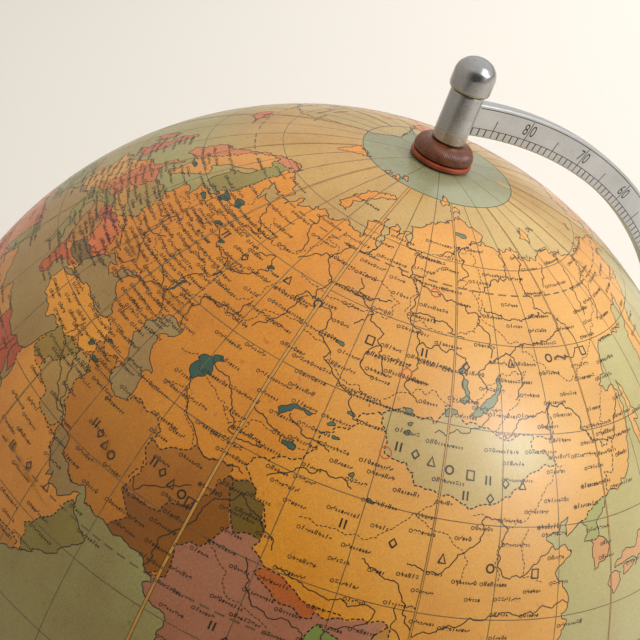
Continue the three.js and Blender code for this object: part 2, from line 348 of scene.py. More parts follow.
def wool_felt():
    """Short matted fibres: a fine speckle over slow clouds."""
    felt = Finish("green_felt", (0, 0, 0), 0.95)
    fibres = felt.noise(3800, 3)
    felt.give("Base Color", felt.blend(fibres, linear("26352a"), linear("52664f")))
    felt.relief(fibres + felt.noise(500) * 0.6, 0.0003)
    return felt.material


def carried_over(names, material):
    """CAD pieces keep their shape and take a finish."""
    for name in names:
        frame["nodes"][name].data.materials.clear()
        frame["nodes"][name].data.materials.append(material)


carried_over(["foot_felt"], wool_felt())

# ---- Plated metal -------------------------------------------------------------------------------
# Nickel on brass or steel, satin with age. The arm's faces are brushed and greyed. Ferrules, cap
# nuts and collar are turned bright and have gone cloudy, with pits where damp got under the plate.


def aged_nickel(name, direction, pitting, base="b0b1b3"):
    """Fine rub marks along a direction, clouds of tarnish, and dark pits."""
    metal = Finish(name, (0, 0, 0), 0.3, 1.0)
    along = tuple(Vector(direction).to_track_quat("Z", "Y").inverted().to_euler())
    rubs = metal.noise(1500, 3, metal.stretched((1.0, 1.0, 0.04), along))
    clouds = metal.noise(70, 4).ramp(0.4, 0.7)
    pits = metal.noise(1700, 3).ramp(0.68 - 0.06 * pitting, 0.75)
    tone = metal.blend(clouds * 0.5, linear(base), linear("857c70"))
    tone = metal.blend(rubs * 0.3, tone, linear("cbc7bf"))
    metal.give("Base Color", metal.blend(pits * (0.8 * pitting), tone, linear("4a4036")))
    metal.give("Roughness", rubs * 0.1 + clouds * 0.1 + 0.1)
    metal.give("Metallic", 1.0 - pits * (0.5 * pitting))
    metal.relief(rubs * 0.4 - pits * pitting, 0.00005, 0.6)
    return metal.material


turned_nickel = aged_nickel("turned_nickel", tuple(north), 1.0)
plain_nickel = aged_nickel("plain_nickel", (0, 0, 1), 0.4)
collar_profile = rounded([(3.4, 56), (12.6, 56), (13.4, 57), (13.4, 59), (12.6, 60), (3.4, 60)], 0.7)
show(turned("pillar_ring", collar_profile), "stand", plain_nickel, ["pillar_collar"])


def bevelled_copy(node, name, width, material):
    """A CAD piece's own shape with its edges broken."""
    mesh = frame["nodes"][node].data.copy()
    mesh.materials.clear()
    shape = bmesh.new()
    shape.from_mesh(mesh)
    bmesh.ops.remove_doubles(shape, verts=shape.verts, dist=1e-6)
    bmesh.ops.dissolve_limit(shape, angle_limit=math.radians(2), verts=shape.verts, edges=shape.edges)
    shape.to_mesh(mesh)
    shape.free()
    piece = bpy.data.objects.new(name, mesh)
    edge = piece.modifiers.new("broken_edges", "BEVEL")
    edge.width, edge.segments, edge.limit_method, edge.angle_limit = width, 2, "ANGLE", math.radians(40)
    return show(piece, "stand", material, [node])


bevelled_copy("arm_saddle", "saddle_block", 0.0005, plain_nickel)


def rivet_profile():
    """A round head at each end of a shank."""
    t = np.linspace(0, math.pi / 2, 9)
    head = np.stack([3.1 * np.sin(t), 6.5 + 1.6 * np.cos(t)], 1)
    return np.vstack([head, [[1.6, 6.5], [1.6, -6.5]], (head * [1, -1])[::-1]])


for number in (1, 2):
    low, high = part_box(f"saddle_rivet_{number}")
    rivet = turned(f"round_rivet_{number}", rivet_profile(), (low + high) / 2, (0, -1, 1e-9), 40)
    show(rivet, "stand", plain_nickel, [f"saddle_rivet_{number}"])

bright_steel = aged_nickel("bright_steel", (0, 0, 1), 0.2, "8f8f8c")
carried_over(["tie_rod", "tie_rod_washer", "tie_rod_nut", "axle_rod"], bright_steel)

# ---- Meridian arm -------------------------------------------------------------------------------
# A flat bar bent on edge to a half ring. Its ends are let into the slotted ferrules. The near face
# carries the scale: a band of single degrees along the inner edge, longer marks every five and ten.

arm_inner, arm_outer, arm_half = 0.1768, 0.1892, 0.0025
arm_reach = math.degrees(math.acos(0.0034 / arm_outer))


def on_arm(latitude, radius, depth):
    """Point of the arm at a latitude, a distance from the ball's centre and a depth along +Y."""
    latitude = np.radians(np.asarray(latitude, float))[..., None]
    out = np.cos(latitude) * arm_side + np.sin(latitude) * north
    sideways = np.array([0, 1.0, 0]) * np.asarray(depth)[..., None]
    return ball_centre + out * np.asarray(radius)[..., None] + sideways


def make_arm():
    """The bar's section, a rectangle with eased corners, carried along the half ring."""
    section = rounded([
        (arm_inner, 0.0), (arm_inner, -arm_half), (arm_outer, -arm_half), (arm_outer, arm_half),
        (arm_inner, arm_half), (arm_inner, 0.0)], 0.0007, 5)[:-1]
    latitudes = np.linspace(-arm_reach, arm_reach, 241)
    points = on_arm(latitudes[:, None], section[None, :, 0], section[None, :, 1] + 0 * latitudes[:, None])
    count = len(section)
    i, j = np.meshgrid(np.arange(len(latitudes) - 1), np.arange(count), indexing="ij")
    m, k = (j + 1) % count, i + 1
    faces = np.stack([i * count + j, i * count + m, k * count + m, k * count + j], -1).reshape(-1, 4)
    last = (len(latitudes) - 1) * count
    faces = [*faces.tolist(), list(range(count)), list(range(last, last + count))]
    mesh = bpy.data.meshes.new("scale_arm")
    mesh.from_pydata(points.reshape(-1, 3).tolist(), [], faces)
    shape = bmesh.new()
    shape.from_mesh(mesh)
    bmesh.ops.recalc_face_normals(shape, faces=shape.faces)
    shape.to_mesh(mesh)
    shape.free()
    mesh.polygons.foreach_set("use_smooth", [True] * len(mesh.polygons))
    mesh.set_sharp_from_angle(angle=math.radians(40))
    return bpy.data.objects.new("scale_arm", mesh)


def arm_metal():
    """Greyed satin plate, with rub marks round the ring and cloudy patches."""
    metal = Finish("arm_nickel", (0, 0, 0), 0.35, 0.9)
    middle = tuple(ball_centre)
    centred = metal.add("ShaderNodeVectorMath", {"operation": "SUBTRACT"}, {0: metal.place, 1: middle})
    reach = metal.add("ShaderNodeVectorMath", {"operation": "LENGTH"}, {0: centred}, "Value")
    rings = metal.add("ShaderNodeCombineXYZ", {}, {0: reach, 1: 0.0, 2: 0.0})
    rubs = metal.noise(5200, 2, rings)
    grit = metal.noise(2600, 3)
    clouds = metal.noise(45, 4).ramp(0.35, 0.7)
    tone = metal.blend(clouds * 0.55, linear("cbccce"), linear("adacaa"))
    tone = metal.blend(rubs * 0.3, tone, linear("e0e0e0"))
    metal.give("Base Color", metal.blend(grit.ramp(0.58, 0.72) * 0.4, tone, linear("7a746c")))
    metal.give("Roughness", rubs * 0.1 + clouds * 0.1 + 0.36)
    metal.relief(rubs * 0.5 + grit * 0.5, 0.00003, 0.5)
    return metal.material


show(make_arm(), "stand", arm_metal(), ["meridian_arm"])

scale_face = -arm_half - 0.00002
tick_line, five_line, ten_line, outer_line = 0.1802, 0.1842, 0.1877, 0.18795  # from the ball's centre


def strokes_on_arm(starts, ends, halves):
    """Flat strokes on the arm's near face from (latitude, radius) to (latitude, radius)."""
    centre = on_arm(starts[:, 0], starts[:, 1], np.full(len(starts), scale_face))
    far = on_arm(ends[:, 0], ends[:, 1], np.full(len(ends), scale_face))
    along = (far - centre) / np.linalg.norm(far - centre, axis=1)[:, None]
    side = np.cross(along, [0, -1.0, 0]) * halves[:, None]
    corners = np.stack([centre - side, centre + side, far + side, far - side], 1)
    return corners.reshape(-1, 3), np.arange(len(starts) * 4).reshape(-1, 4)


def make_scale():
    """A tick for each degree, a longer one for each five, a full one for each ten, and two rings."""
    degrees = np.arange(-88, 89)
    tops = np.where(degrees % 10 == 0, ten_line, np.where(degrees % 5 == 0, five_line, tick_line))
    starts = np.stack([degrees, np.full(len(degrees), arm_inner + 0.0006)], 1)
    ends = np.stack([degrees, tops], 1)
    halves = np.where(degrees % 5 == 0, 0.0002, 0.00027)
    steps = np.arange(-88, 88.01, 1.0)
    parts = [(starts, ends, halves)]
    for radius, half in ((tick_line, 0.00014), (outer_line, 0.00016)):
        ring = np.stack([steps, np.full(len(steps), radius)], 1)
        parts.append((ring[:-1], ring[1:], np.full(len(steps) - 1, half)))
    points, faces = strokes_on_arm(*(np.concatenate(column) for column in zip(*parts)))
    return points, faces


def make_numbers():
    """Tens of degrees in plain upright figures, one on each side of their tick."""
    height, foot_line, spread = 0.0046, 0.1820, 0.0018
    points, faces = [], []
    for tens in range(-80, 81, 10):
        for figure, shift in zip(f"{abs(tens):02d}" if tens else "0", (-1.0, 1.0)):
            text = bpy.data.curves.new("figure", "FONT")
            text.body, text.size, text.align_x = figure, height * 1.38, "CENTER"
            holder = bpy.data.objects.new("figure", text)
            bpy.context.scene.collection.objects.link(holder)
            shape = holder.to_mesh()
            flat = np.array([v.co[:2] for v in shape.vertices])
            latitude = tens - np.degrees((flat[:, 0] * 0.8 + shift * spread) / five_line)
            radius = foot_line + flat[:, 1]
            first = sum(len(p) for p in points)
            points.append(on_arm(latitude, radius, np.full(len(flat), scale_face)))
            faces += [[first + i for i in face.vertices] for face in shape.polygons]
            holder.to_mesh_clear()
            bpy.data.objects.remove(holder)
    return np.concatenate(points), faces


def black_filler():
    """Black wax in shallow engraved lines, worn grey in places."""
    wax = Finish("engraving_wax", (0, 0, 0), 0.6)
    wear = wax.noise(420, 4).ramp(0.42, 0.72)
    wax.give("Base Color", wax.blend(wear, linear("262422"), linear("55524e")))
    return wax.material


scale_points, scale_faces = make_scale()
number_points, number_faces = make_numbers()
scale_mesh = bpy.data.meshes.new("degree_scale")
scale_mesh.from_pydata(
    np.vstack([scale_points, number_points]).tolist(), [],
    scale_faces.tolist() + [[len(scale_points) + i for i in face] for face in number_faces])
show(bpy.data.objects.new("degree_scale", scale_mesh), "stand", black_filler())

# ---- Pole fittings ------------------------------------------------------------------------------
# At each pole the axle carries, from the ball outwards, a red fibre washer, a turned wooden boss
# with fine flutes, a plated ferrule that takes the end of the arm, and a domed cap nut.


def red_fibre():
    """Vulcanised fibre: dull brick red, paler where it is rubbed."""
    fibre = Finish("red_fibre", (0, 0, 0), 0.45)
    rub = fibre.noise(300, 4).ramp(0.4, 0.7)
    fibre.give("Base Color", fibre.blend(rub, linear("8f3c20"), linear("b5552f")))
    fibre.relief(fibre.noise(2500), 0.00004)
    return fibre.material


def fluted(piece, pole):
    """Presses fine flutes, 0.14 mm deep, into the curved side of a boss: the radius gains a cosine
    of the angle, which fades out over the flat ends and near the bore."""
    flutes, half_depth = 96, 0.00007
    mesh = piece.data
    points = np.empty(len(mesh.vertices) * 3)
    mesh.vertices.foreach_get("co", points)
    points = points.reshape(-1, 3) - ball_centre
    height = points @ (north * pole)
    radial = points - height[:, None] * north * pole
    radius = np.linalg.norm(radial, axis=1)
    angle = np.arctan2(radial @ np.array([0, 1.0, 0]), radial @ arm_side)
    side = np.clip((radius - 0.0064) / 0.001, 0, 1) * np.clip((height - 0.1684) / 0.0006, 0, 1)
    radial *= (1 + side * half_depth * np.cos(angle * flutes) / np.maximum(radius, 1e-4))[:, None]
    mesh.vertices.foreach_set("co", (ball_centre + height[:, None] * north * pole + radial).ravel())
    return piece


washer_profile = rounded([
    (2.8, 166.3), (2.8, 165.25), (11.2, 165.25), (11.5, 165.6), (11.5, 166.8), (11.1, 167.1), (2.8, 167.1),
    (2.8, 166.3)], 0.4)[:-1]
boss_profile = rounded([
    (2.8, 170), (2.8, 167.4), (10.4, 167.4), (11.1, 167.8), (11.2, 168.9), (10.8, 170.3), (9.8, 171.7),
    (8.3, 172.6), (6.8, 172.95), (2.8, 173.0), (2.8, 170)], 0.8, 5)[:-1]
ferrule_profile = rounded([
    (2.8, 183), (2.8, 173.2), (5.9, 173.2), (6.25, 173.6), (6.25, 192.1), (5.9, 192.5), (2.8, 192.5),
    (2.8, 183)], 0.3)[:-1]
cap_profile = rounded([
    (0, 198.3), (2.8, 198.3), (2.8, 192.8), (7.0, 192.8), (7.6, 193.6), (7.6, 199.3), (6.9, 201.6),
    (5.0, 203.7), (2.6, 204.8), (0, 205.1)], 0.8)

boss_wood = stained_wood("boss_wood", tuple(north))
fibre = red_fibre()
for pole, name in ((1, "north"), (-1, "south")):
    axis = north * pole
    show(turned(f"{name}_red_washer", washer_profile, ball_centre, axis), "ball", fibre,
         [f"{name}_fibre_washer"])
    boss = turned(f"{name}_turned_boss", boss_profile, ball_centre, axis, 576)
    show(fluted(boss, pole), "stand", boss_wood, [f"{name}_boss"])
    show(turned(f"{name}_domed_nut", cap_profile, ball_centre, axis), "stand", turned_nickel,
         [f"{name}_cap_nut"])
    show(turned(f"{name}_tube_ferrule", ferrule_profile, ball_centre, axis), "stand", turned_nickel,
         [f"{name}_ferrule"])


def turned_brass():
    brass = Finish("turned_brass", (0, 0, 0), 0.3, 1.0)
    brass.give("Base Color", brass.blend(brass.noise(200), linear("a9823f"), linear("c9a45c")))
    return brass.material


def plain_block():
    block = Finish("plain_block", (0, 0, 0), 0.7)
    grain = block.noise(500, 3, block.stretched((1.0, 1.0, 0.08)))
    block.give("Base Color", block.blend(grain, linear("a67b4a"), linear("c9a170")))
    return block.material


def paper_board():
    board = Finish("pulp_board", (0, 0, 0), 0.9)
    pulp = board.noise(900, 4)
    board.give("Base Color", board.blend(pulp, linear("8f8168"), linear("b5a88c")))
    board.relief(pulp, 0.0003)
    return board.material


carried_over(["north_bush", "south_bush"], turned_brass())
carried_over(["north_pole_block", "south_pole_block"], plain_block())
carried_over(["upper_shell", "lower_shell", "equator_hoop"], paper_board())

# ---- Paper gores --------------------------------------------------------------------------------
# Twelve printed strips, 30 degrees wide, pasted from 80 south to 80 north over the shells, then a
# round calotte on each pole. Printed in flat colours on cream paper, varnished, and browned by age.

sea_tone, polar_tone = "c8b480", "97adab"
land_tone, lake_tone = "e8aa38", "336e78"

land_outlines = """
-5.6 36, -6.4 36.8, -8.9 37, -9.4 38.7, -8.8 41, -9.2 43.1, -7.9 43.7, -5 43.5, -1.8 43.4, -1.2 44.6,
-1.1 46, -2.2 47.2, -4.6 47.9, -4.7 48.5, -2 48.7, -1.9 49.7, -1.2 49.6, 0.2 49.6, 1.6 50.8, 3.4 51.4,
4.6 52.8, 5.5 53.3, 7 53.4, 8.5 53.6, 8.8 54.4, 8.1 55.6, 8.3 56.9, 10.6 57.7, 10.4 56.5, 9.8 55.5,
9.6 54.8, 10.9 54.3, 12.2 54.3, 14.2 53.9, 16.4 54.3, 18.6 54.7, 19.6 54.4, 21.1 55.4, 21.3 57.4,
22.6 57.7, 24 57.1, 24.4 58.3, 23.5 59.2, 25.5 59.5, 28 59.5, 30 59.9, 28.5 60.5, 25 60.2, 22.9 59.9,
21.4 60.8, 21.5 62, 21.2 63, 23 63.8, 25 65, 24.2 65.8, 22 65.6, 21.4 64.5, 19.2 63.5, 17.5 62.3,
17.2 60.8, 18.8 60.1, 18 58.9, 16.7 57.8, 16 56.2, 14.4 55.5, 12.9 55.5, 12.7 56.5, 11.3 58.6, 10.6 59.6,
9.5 58.9, 7 58, 5.5 58.8, 5 60.5, 5 62, 8 63.5, 10.5 64.5, 12.5 66, 14.5 67.6, 16.5 68.6, 19 69.8,
22 70.4, 25.7 71.1, 28.5 71, 31 70.3, 29.5 69.7, 33 69.4, 36 69.1, 40.5 67.7, 41 66.7, 38.5 66.1,
34.5 66.7, 32.9 67.1, 34.8 64.5, 37.5 63.9, 37.2 65, 39.7 64.7, 40.3 65.4, 39.8 66, 42.2 66.5, 44.2 66,
44 68.4, 46 68, 46.5 66.9, 48 67.6, 51 68.5, 53.8 68.9, 54.5 68.3, 57.5 68.6, 60.5 69.7, 60.9 69.1,
64.9 69.2, 68.3 68.2, 68.9 68.8, 67 69.6, 66.8 71, 68.5 71.9, 69.8 73, 72.8 72.8, 72.7 71, 72.5 69,
73.7 67.9, 71.5 66.5, 73.5 66.8, 74.7 68.2, 74.3 70, 73.8 71.5, 75 72.8, 77.6 72.4, 78.5 71, 79.5 72.3,
80.7 72.2, 83 70.3, 83.5 71.5, 80.7 73.5, 86 74, 87 75, 92 75.8, 98 76.3, 104 77.7, 107 76.7, 113.5 75.5,
113 74, 109.5 74, 106 73.2, 110 73.5, 113 73.6, 119 73, 123.5 73, 127 73.4, 129.5 71.5, 132.5 71.5,
137 71.5, 140 72.5, 146 72.3, 150 71.5, 152.5 70.9, 160 69.7, 161.5 69.3, 167.5 69.6, 170.5 70.1,
170.5 69, 176 69.8, 180 68.8, 184.5 67.5, 187.5 67, 190 66, 188 65.5, 187 64.3, 181.5 65.6, 180 65,
177.5 64.7, 179.5 62.5, 174.5 61.8, 170.5 60, 166 60, 163 58, 162 56.2, 162 54.8, 158.5 53, 156.7 51,
155.6 55, 156 57, 158.5 58.5, 162 60.5, 163.7 62.5, 160 61.7, 157 61.7, 154.5 59.6, 151 59.3, 148 59.4,
142.5 59.3, 138 56, 135.3 54.8, 137.5 53.8, 140.5 54, 141.3 53, 140.4 51, 140.5 49, 138.5 46.5, 136 44.2,
133 42.8, 131 42.7, 130.4 42.3, 129.7 41.2, 127.5 39.8, 127.5 39.2, 129.4 37, 129.3 35.5, 126.5 34.4,
126.4 36.7, 126.7 37.7, 124.7 38.1, 125.3 39.5, 124.2 39.9, 121.3 38.8, 121.8 40.9, 119 39.3, 117.8 38.7,
119 37.4, 120.8 37.8, 122.5 37.2, 119.5 35, 120.9 33, 121.9 31.2, 121 30.3, 122 29.5, 120 26, 118 24.5,
114.2 22.3, 110.5 21.3, 108.2 21.5, 106.6 20.3, 105.8 19, 107.5 16.8, 109.3 13.5, 109 11.5, 106.7 10.3,
104.9 8.7, 105 10.2, 102.5 12, 100.9 12.8, 100.5 13.5, 99.9 12, 99.3 9.5, 100.3 8, 102 6.2, 103.4 4.5,
103.6 1.5, 101.4 2.9, 100.3 5.8, 98.4 8, 98.7 11, 97.7 15.5, 97.2 16.8, 95.4 15.8, 94.3 16, 94.2 18.8,
92 21.5, 90.5 22.7, 88 21.7, 86.9 20.7, 82.3 16.6, 80.2 15.5, 80 12.5, 79.8 10.3, 77.6 8.1, 76.3 10,
74.8 13, 73.2 17, 72.8 20.5, 70.5 20.9, 69 22.3, 70 22.9, 68.3 23.7, 66.7 25, 61.6 25.1, 57.3 25.8,
56.5 27.1, 54.5 26.6, 51.5 27.9, 50.5 29.8, 48.8 30.3, 47.9 29.9, 48.6 28.3, 50.2 26.6, 50.8 24.8,
51.3 26, 51.6 24.5, 54 24.2, 56.2 26, 56.5 24.3, 59.7 22.6, 57.8 19, 55.3 17.4, 52.2 15.6, 48.7 14,
45 12.8, 43.4 12.7, 42.7 15.5, 41 18.6, 39 21.4, 37.2 24.5, 35.1 28, 34.9 29.5, 34.3 27.9, 32.5 29.9,
32.3 31.3, 34.3 31.4, 35 33, 35.9 35.5, 36.2 36.7, 34.5 36.7, 32.5 36, 30.6 36.8, 28 36.7, 27.2 37.5,
26.7 39, 26.2 40, 27.5 40.4, 29 40.5, 29.1 41.1, 31.5 41.3, 33.5 42, 35 42, 36.5 41.3, 39.5 41, 41.6 41.5,
41.5 42.5, 39 44, 37 45, 38.2 46.7, 39.3 47.2, 37 46.9, 35 46.3, 35.2 45.4, 36.5 45.3, 35 44.9, 33.6 44.4,
32.6 45.4, 33.5 46.1, 31 46.6, 30.2 45.8, 29.7 45.2, 28.6 43.8, 27.9 42.7, 28.2 41.5, 28.9 41.2, 27.5 41,
26.5 40.3, 26 40.8, 24 40.8, 23.8 40, 22.7 40.4, 23 39, 24 38, 23 36.6, 21.7 36.8, 21.2 38, 20 39.8,
19.4 41.4, 18.4 42.5, 15.5 44, 14.4 45.3, 13.6 45.6, 12.4 45.2, 12.6 44, 14.2 42.4, 16 41.7, 18.4 40.2,
16.9 40.5, 16.6 39, 15.7 38, 15.9 39.5, 14.5 40.6, 12.3 41.8, 10.4 43, 8.8 44.4, 6.8 43.2, 4.6 43.4,
3.1 42.8, 3 41.7, 0.3 40, -0.1 38.8, -0.9 37.6, -2.2 36.8, -5.3 36.1;
32.5 29.9, 32.3 31.3, 29 30.9, 25 31.7, 20.1 32.5, 19.5 30.5, 15.3 32.3, 11 33.5, 10.8 36.9, 5 36.8,
-2 35.1, -5.9 35.8, -9.8 31.5, -13 27.7, -16.9 21.8, -16.3 19, -17.4 14.7, -15 11, -13.2 8.9, -7.6 4.4,
-2 4.8, 4.4 6.3, 6 4.3, 8.9 4.6, 9.7 2, 9 -1, 12 -5, 13.4 -9, 11.8 -16, 14.5 -22.5, 16.5 -28.6, 18.4 -34,
20 -34.8, 25.7 -34, 30.5 -31, 32.8 -27, 35.5 -23.5, 35 -20, 40.6 -15, 40.4 -10.5, 39.3 -6, 41.6 -1.7,
46 2.3, 51.2 11.8, 44.5 10.4, 43.2 11.7, 39.5 15.5, 37.2 19.5, 35.5 24, 33.6 27.8, 32.6 29.9;
49.3 -12, 50.4 -15.6, 47.5 -24.8, 45 -25.5, 43.3 -22.5, 44.4 -16.3, 47.8 -13.5;
-5.7 50.1, -3.5 50.3, 1.4 51.2, 0.4 52.9, -1.6 55, -2 57.5, -3.1 58.6, -5 58.6, -5.6 56.5, -3.1 54.9,
-4.5 53.3, -5.2 51.8, -3 51.3;
-10 51.7, -6.4 52.2, -6 54.5, -8.2 55.3, -9.9 54.2;
-22.5 64, -18.5 63.4, -14 64.7, -15 66.2, -21 66, -24.2 65.5;
11 79.5, 15 77, 17 76.7, 21 78.5, 27 80, 20 80.3;
47 80.3, 51 80, 52 80.6, 48 80.9; 54 80.4, 58 80.2, 59 80.9, 55 81.1; 60 81, 64 80.9, 62.5 81.7,
58.5 81.6;
51.7 71.6, 55.5 70.7, 57.5 70.7, 55.8 72.5, 57.5 74, 61.5 75.3, 68.5 76.7, 66 77, 58 75.8, 54 74, 52 72.5;
92 79.7, 96 79, 99.5 79.6, 97 80.8, 93.5 81; 99 78.2, 105 78.6, 103 79.4, 99.5 79.1;
137 75.5, 141 73.5, 143.5 74.9, 142 76; 146.5 75.2, 150.5 75.1, 147 75.6; 178.5 71.1, 182 71.3, 180 71.6;
142 46, 143.5 47, 143.3 49.5, 144.7 49, 143.2 52, 142.9 54.3, 141.8 52.5, 142 49;
131 34.2, 133 34.4, 135.2 34.6, 135.8 33.5, 137 34.6, 138.8 34.7, 140.8 35.8, 141.9 39.5, 141.4 41.4,
140.3 41.2, 139.8 39, 138.8 37.8, 137.3 36.8, 136 35.7, 133 35.5, 131 34.4;
140 41.5, 141 42.5, 143.2 42, 145.5 43.3, 144.3 44, 141.8 45.5, 141.3 43.2;
130.2 31.2, 131.4 31.5, 132 33.3, 131 33.9, 129.7 33.2; 132.5 33, 134.3 33.3, 134.6 34.2, 132.8 34;
120.2 23, 121 22, 121.9 25, 121 25; 108.7 19, 109.7 18.3, 111 19.7, 110 20.1;
120.3 16, 121 13.9, 124 13, 122.2 15.5, 122 18.4, 120.6 18.4; 122 7, 125.5 6, 126.5 8, 125.3 9.7,
123.5 8.5;
109 1.5, 110 -1.5, 111.5 -3.3, 116 -4, 117.8 0.8, 119 5, 117 7, 114 4.7, 111.3 2.5;
95.3 5.6, 98.3 4.2, 103.4 0, 106 -3, 105.7 -5.9, 102.3 -4, 98.7 1.6;
105.3 -6.8, 106.8 -6, 110.8 -6.5, 114.4 -7.8, 114.3 -8.7, 108.5 -7.8;
119.5 -5.5, 120.3 -3, 123 -4, 121.5 -1, 123.2 -0.9, 125 1.5, 120.5 1.2, 119.3 -2;
131 -0.8, 134 -0.8, 135 -3.3, 138 -1.8, 144.5 -3.9, 147.8 -6, 150.5 -10.5, 147 -9.5, 143 -8.5, 141 -9.1,
138 -8.4, 138 -5.5, 133 -4;
113.7 -22.5, 114.2 -26, 115.7 -32, 115 -34.3, 118 -35, 124 -33, 131 -31.5, 135.5 -34.8, 137.8 -33,
138.5 -35.5, 141 -38.3, 144.7 -38.2, 146.4 -39.1, 150 -37.5, 151.5 -33, 153.6 -28.5, 150.8 -23.5, 146 -19,
145.3 -15, 142.5 -10.8, 141.6 -13.5, 140.8 -17.5, 139 -17.3, 135.5 -15, 136.8 -12.2, 132.5 -11.3,
129.5 -15, 126.8 -13.9, 123.5 -17.2, 122 -18.2, 119 -20;
144.7 -40.8, 148.2 -40.9, 147 -43.6, 145.8 -43; 79.8 8, 80.2 9.8, 81.8 7.5, 80.6 6;
172.7 -34.5, 175.5 -36.5, 178.4 -37.7, 177 -39.5, 175.3 -41.6, 173.8 -39.3, 174.7 -37.5;
172.7 -40.6, 174.2 -41.5, 170.7 -45.8, 168.5 -46.6, 166.6 -46, 170.5 -43;
-168 65.6, -161.5 66.5, -166 68.3, -156.6 71.3, -141 69.6, -128 70.2, -115 68.2, -108 68, -96 68,
-94 71.8, -85 69.8, -81.5 69, -87 66, -94 61.5, -94.5 58.8, -92.5 57, -88 56.5, -82.3 55.1, -82 53,
-80 51.2, -78.7 52, -79.2 54.7, -77 57, -78 60, -77.5 62.4, -73 62, -69.5 61, -69.5 58.9, -66 58.9,
-64.5 60.3, -61.5 57, -57 54, -56 52, -60 50.2, -66.5 50.2, -70 47, -65 49.2, -64.5 46.2, -61 45.5,
-66 43.5, -67 44.8, -70.5 43.2, -70 41.7, -74 40.6, -76 37, -75.6 35.2, -81 31.5, -80.2 26, -81.7 26,
-83.5 29.8, -89.5 30.2, -94.7 29.4, -97.5 26, -97.2 22, -94.5 18.2, -91 18.8, -90.3 21.2, -87 21.4,
-88.3 16, -83.3 15, -83.7 11, -81.5 8.9, -79.5 9.5, -77.3 8.5, -77.5 7.5, -80 7.3, -83 8.3, -85.8 10.2,
-87.5 13, -92.2 14.5, -96 15.8, -101.5 17.6, -105.5 20, -109.4 25.7, -112.8 30, -114.7 31.7, -111 25,
-109.9 23, -112 25, -115 29, -117.1 32.5, -120.6 34.6, -122.5 37.7, -124.3 40.4, -124 46.2, -123 49,
-127.5 51, -130.5 54.5, -134 58, -139.7 59.6, -146 60.8, -151.5 59.3, -154 58.5, -158 56.3, -163 54.7,
-157.5 58.5, -162 59, -165 61.5, -161 64, -166.5 64.5;
-77.3 8.5, -75.5 10.7, -71.5 12.3, -62 10.7, -57 6, -51 4, -50 0, -44.5 -2.5, -39 -3.5, -35.2 -5.5,
-35 -9, -39 -13, -39.2 -18, -41 -22, -48.5 -26, -50 -29.5, -53.5 -33.8, -57 -34.5, -58.4 -34, -56.8 -36.5,
-62 -39, -65 -41, -65.3 -45, -67.5 -46, -65.8 -48, -69 -51, -68.3 -52.5, -65.5 -54.8, -71 -54, -75.5 -49,
-74 -43, -73.5 -38, -71.5 -32, -70.3 -20, -76 -14, -81.2 -6, -80 -2.5, -80 0.5, -77.5 3, -77.5 7.5;
-73 78.3, -68 80, -60 82.2, -35 83.6, -18 81, -20 76, -22.5 72, -25 70, -40 65, -43.5 60, -51 63, -54 68,
-55 72, -60 76, -68 76;
-90 77, -80 76.3, -75 78.5, -62 82.5, -75 83, -92 81.5, -88 79;
-62 66.5, -78 69.8, -89 71, -85 73.6, -76 72.5, -68 70.5, -61.5 67, -65 62, -72 64, -78 65;
-105 69, -117 69, -118 72, -110 73, -105 72; -125.5 72, -120 71.6, -117 73.5, -124 74;
-85 22, -79 23, -74.5 20.2, -77.5 19.9; -73 19.8, -68.5 18.5, -71.5 17.8, -74 18.4;
-180 -78, -150 -77, -120 -74, -100 -73, -75 -73, -65 -67, -57 -63.5, -62 -68, -60 -75, -35 -78, -15 -72,
10 -70, 40 -69, 55 -66, 75 -69, 90 -66.5, 115 -66.5, 140 -66.5, 165 -71, 168 -77.5, 180 -78, 180 -90,
-180 -90
"""

lake_outlines = """
51 47, 53 46.8, 53 45.3, 51.2 45.2, 50.3 44.4, 51.5 43.2, 52.8 42, 54 41, 52.9 40.8, 53.8 39, 53.9 37,
51.8 36.6, 50 37.4, 48.9 38.4, 49.3 40.3, 47.7 42.8, 47 44.6, 48.5 45.9, 49.5 46.7;
58.6 43.8, 58.7 45.2, 59.8 46.4, 61.3 46.9, 62.6 46.7, 61.8 45.6, 61.9 44.6, 60.6 43.8, 59.4 43.4;
73.6 45.5, 74.4 46.2, 75.5 46.7, 77.3 46.6, 79.2 46.6, 78 46.2, 75.5 46.3, 74.6 45.3, 74 44.9;
103.3 51.2, 105.2 51.2, 107 51.9, 109 53.1, 109.9 54.3, 110.2 55.6, 109.8 56.3, 109 56.2, 108.7 55,
107.7 53.9, 106 52.8, 104.3 51.9;
30.9 59.9, 32.9 60.5, 32.6 61.2, 30.2 61.7, 30 60.8; 32 -2.5, 33.8 -1, 33 0.3, 31.7 -0.7;
45.2 48.9, 45.6 48.9, 46.8 51, 46.3 51; 49 54.6, 50 53.3, 50.4 53.5, 49.5 54.8;
101.4 56.6, 102.1 56.7, 102.9 55.6, 103.3 54.6, 103.6 53.4, 102.6 52.7, 102 52.9, 102.8 53.6, 102.4 54.6,
101.9 55.6;
-92 46.8, -88 48.8, -84.5 47, -87.5 46.6; -87.8 42, -86.3 42.2, -85.2 45.8, -87.5 45; -83.5 43,
-81.7 43.4, -80 45.5, -84 46; -83 41.6, -79 42.8, -81 42.7; -79.5 43.3, -76.3 43.7, -79 43.8; -99 50.5,
-96.7 50.5, -98 53.5;
-117 61.2, -109.5 62.5, -115 62.2; -125 66, -118.5 66, -121 66.8
"""

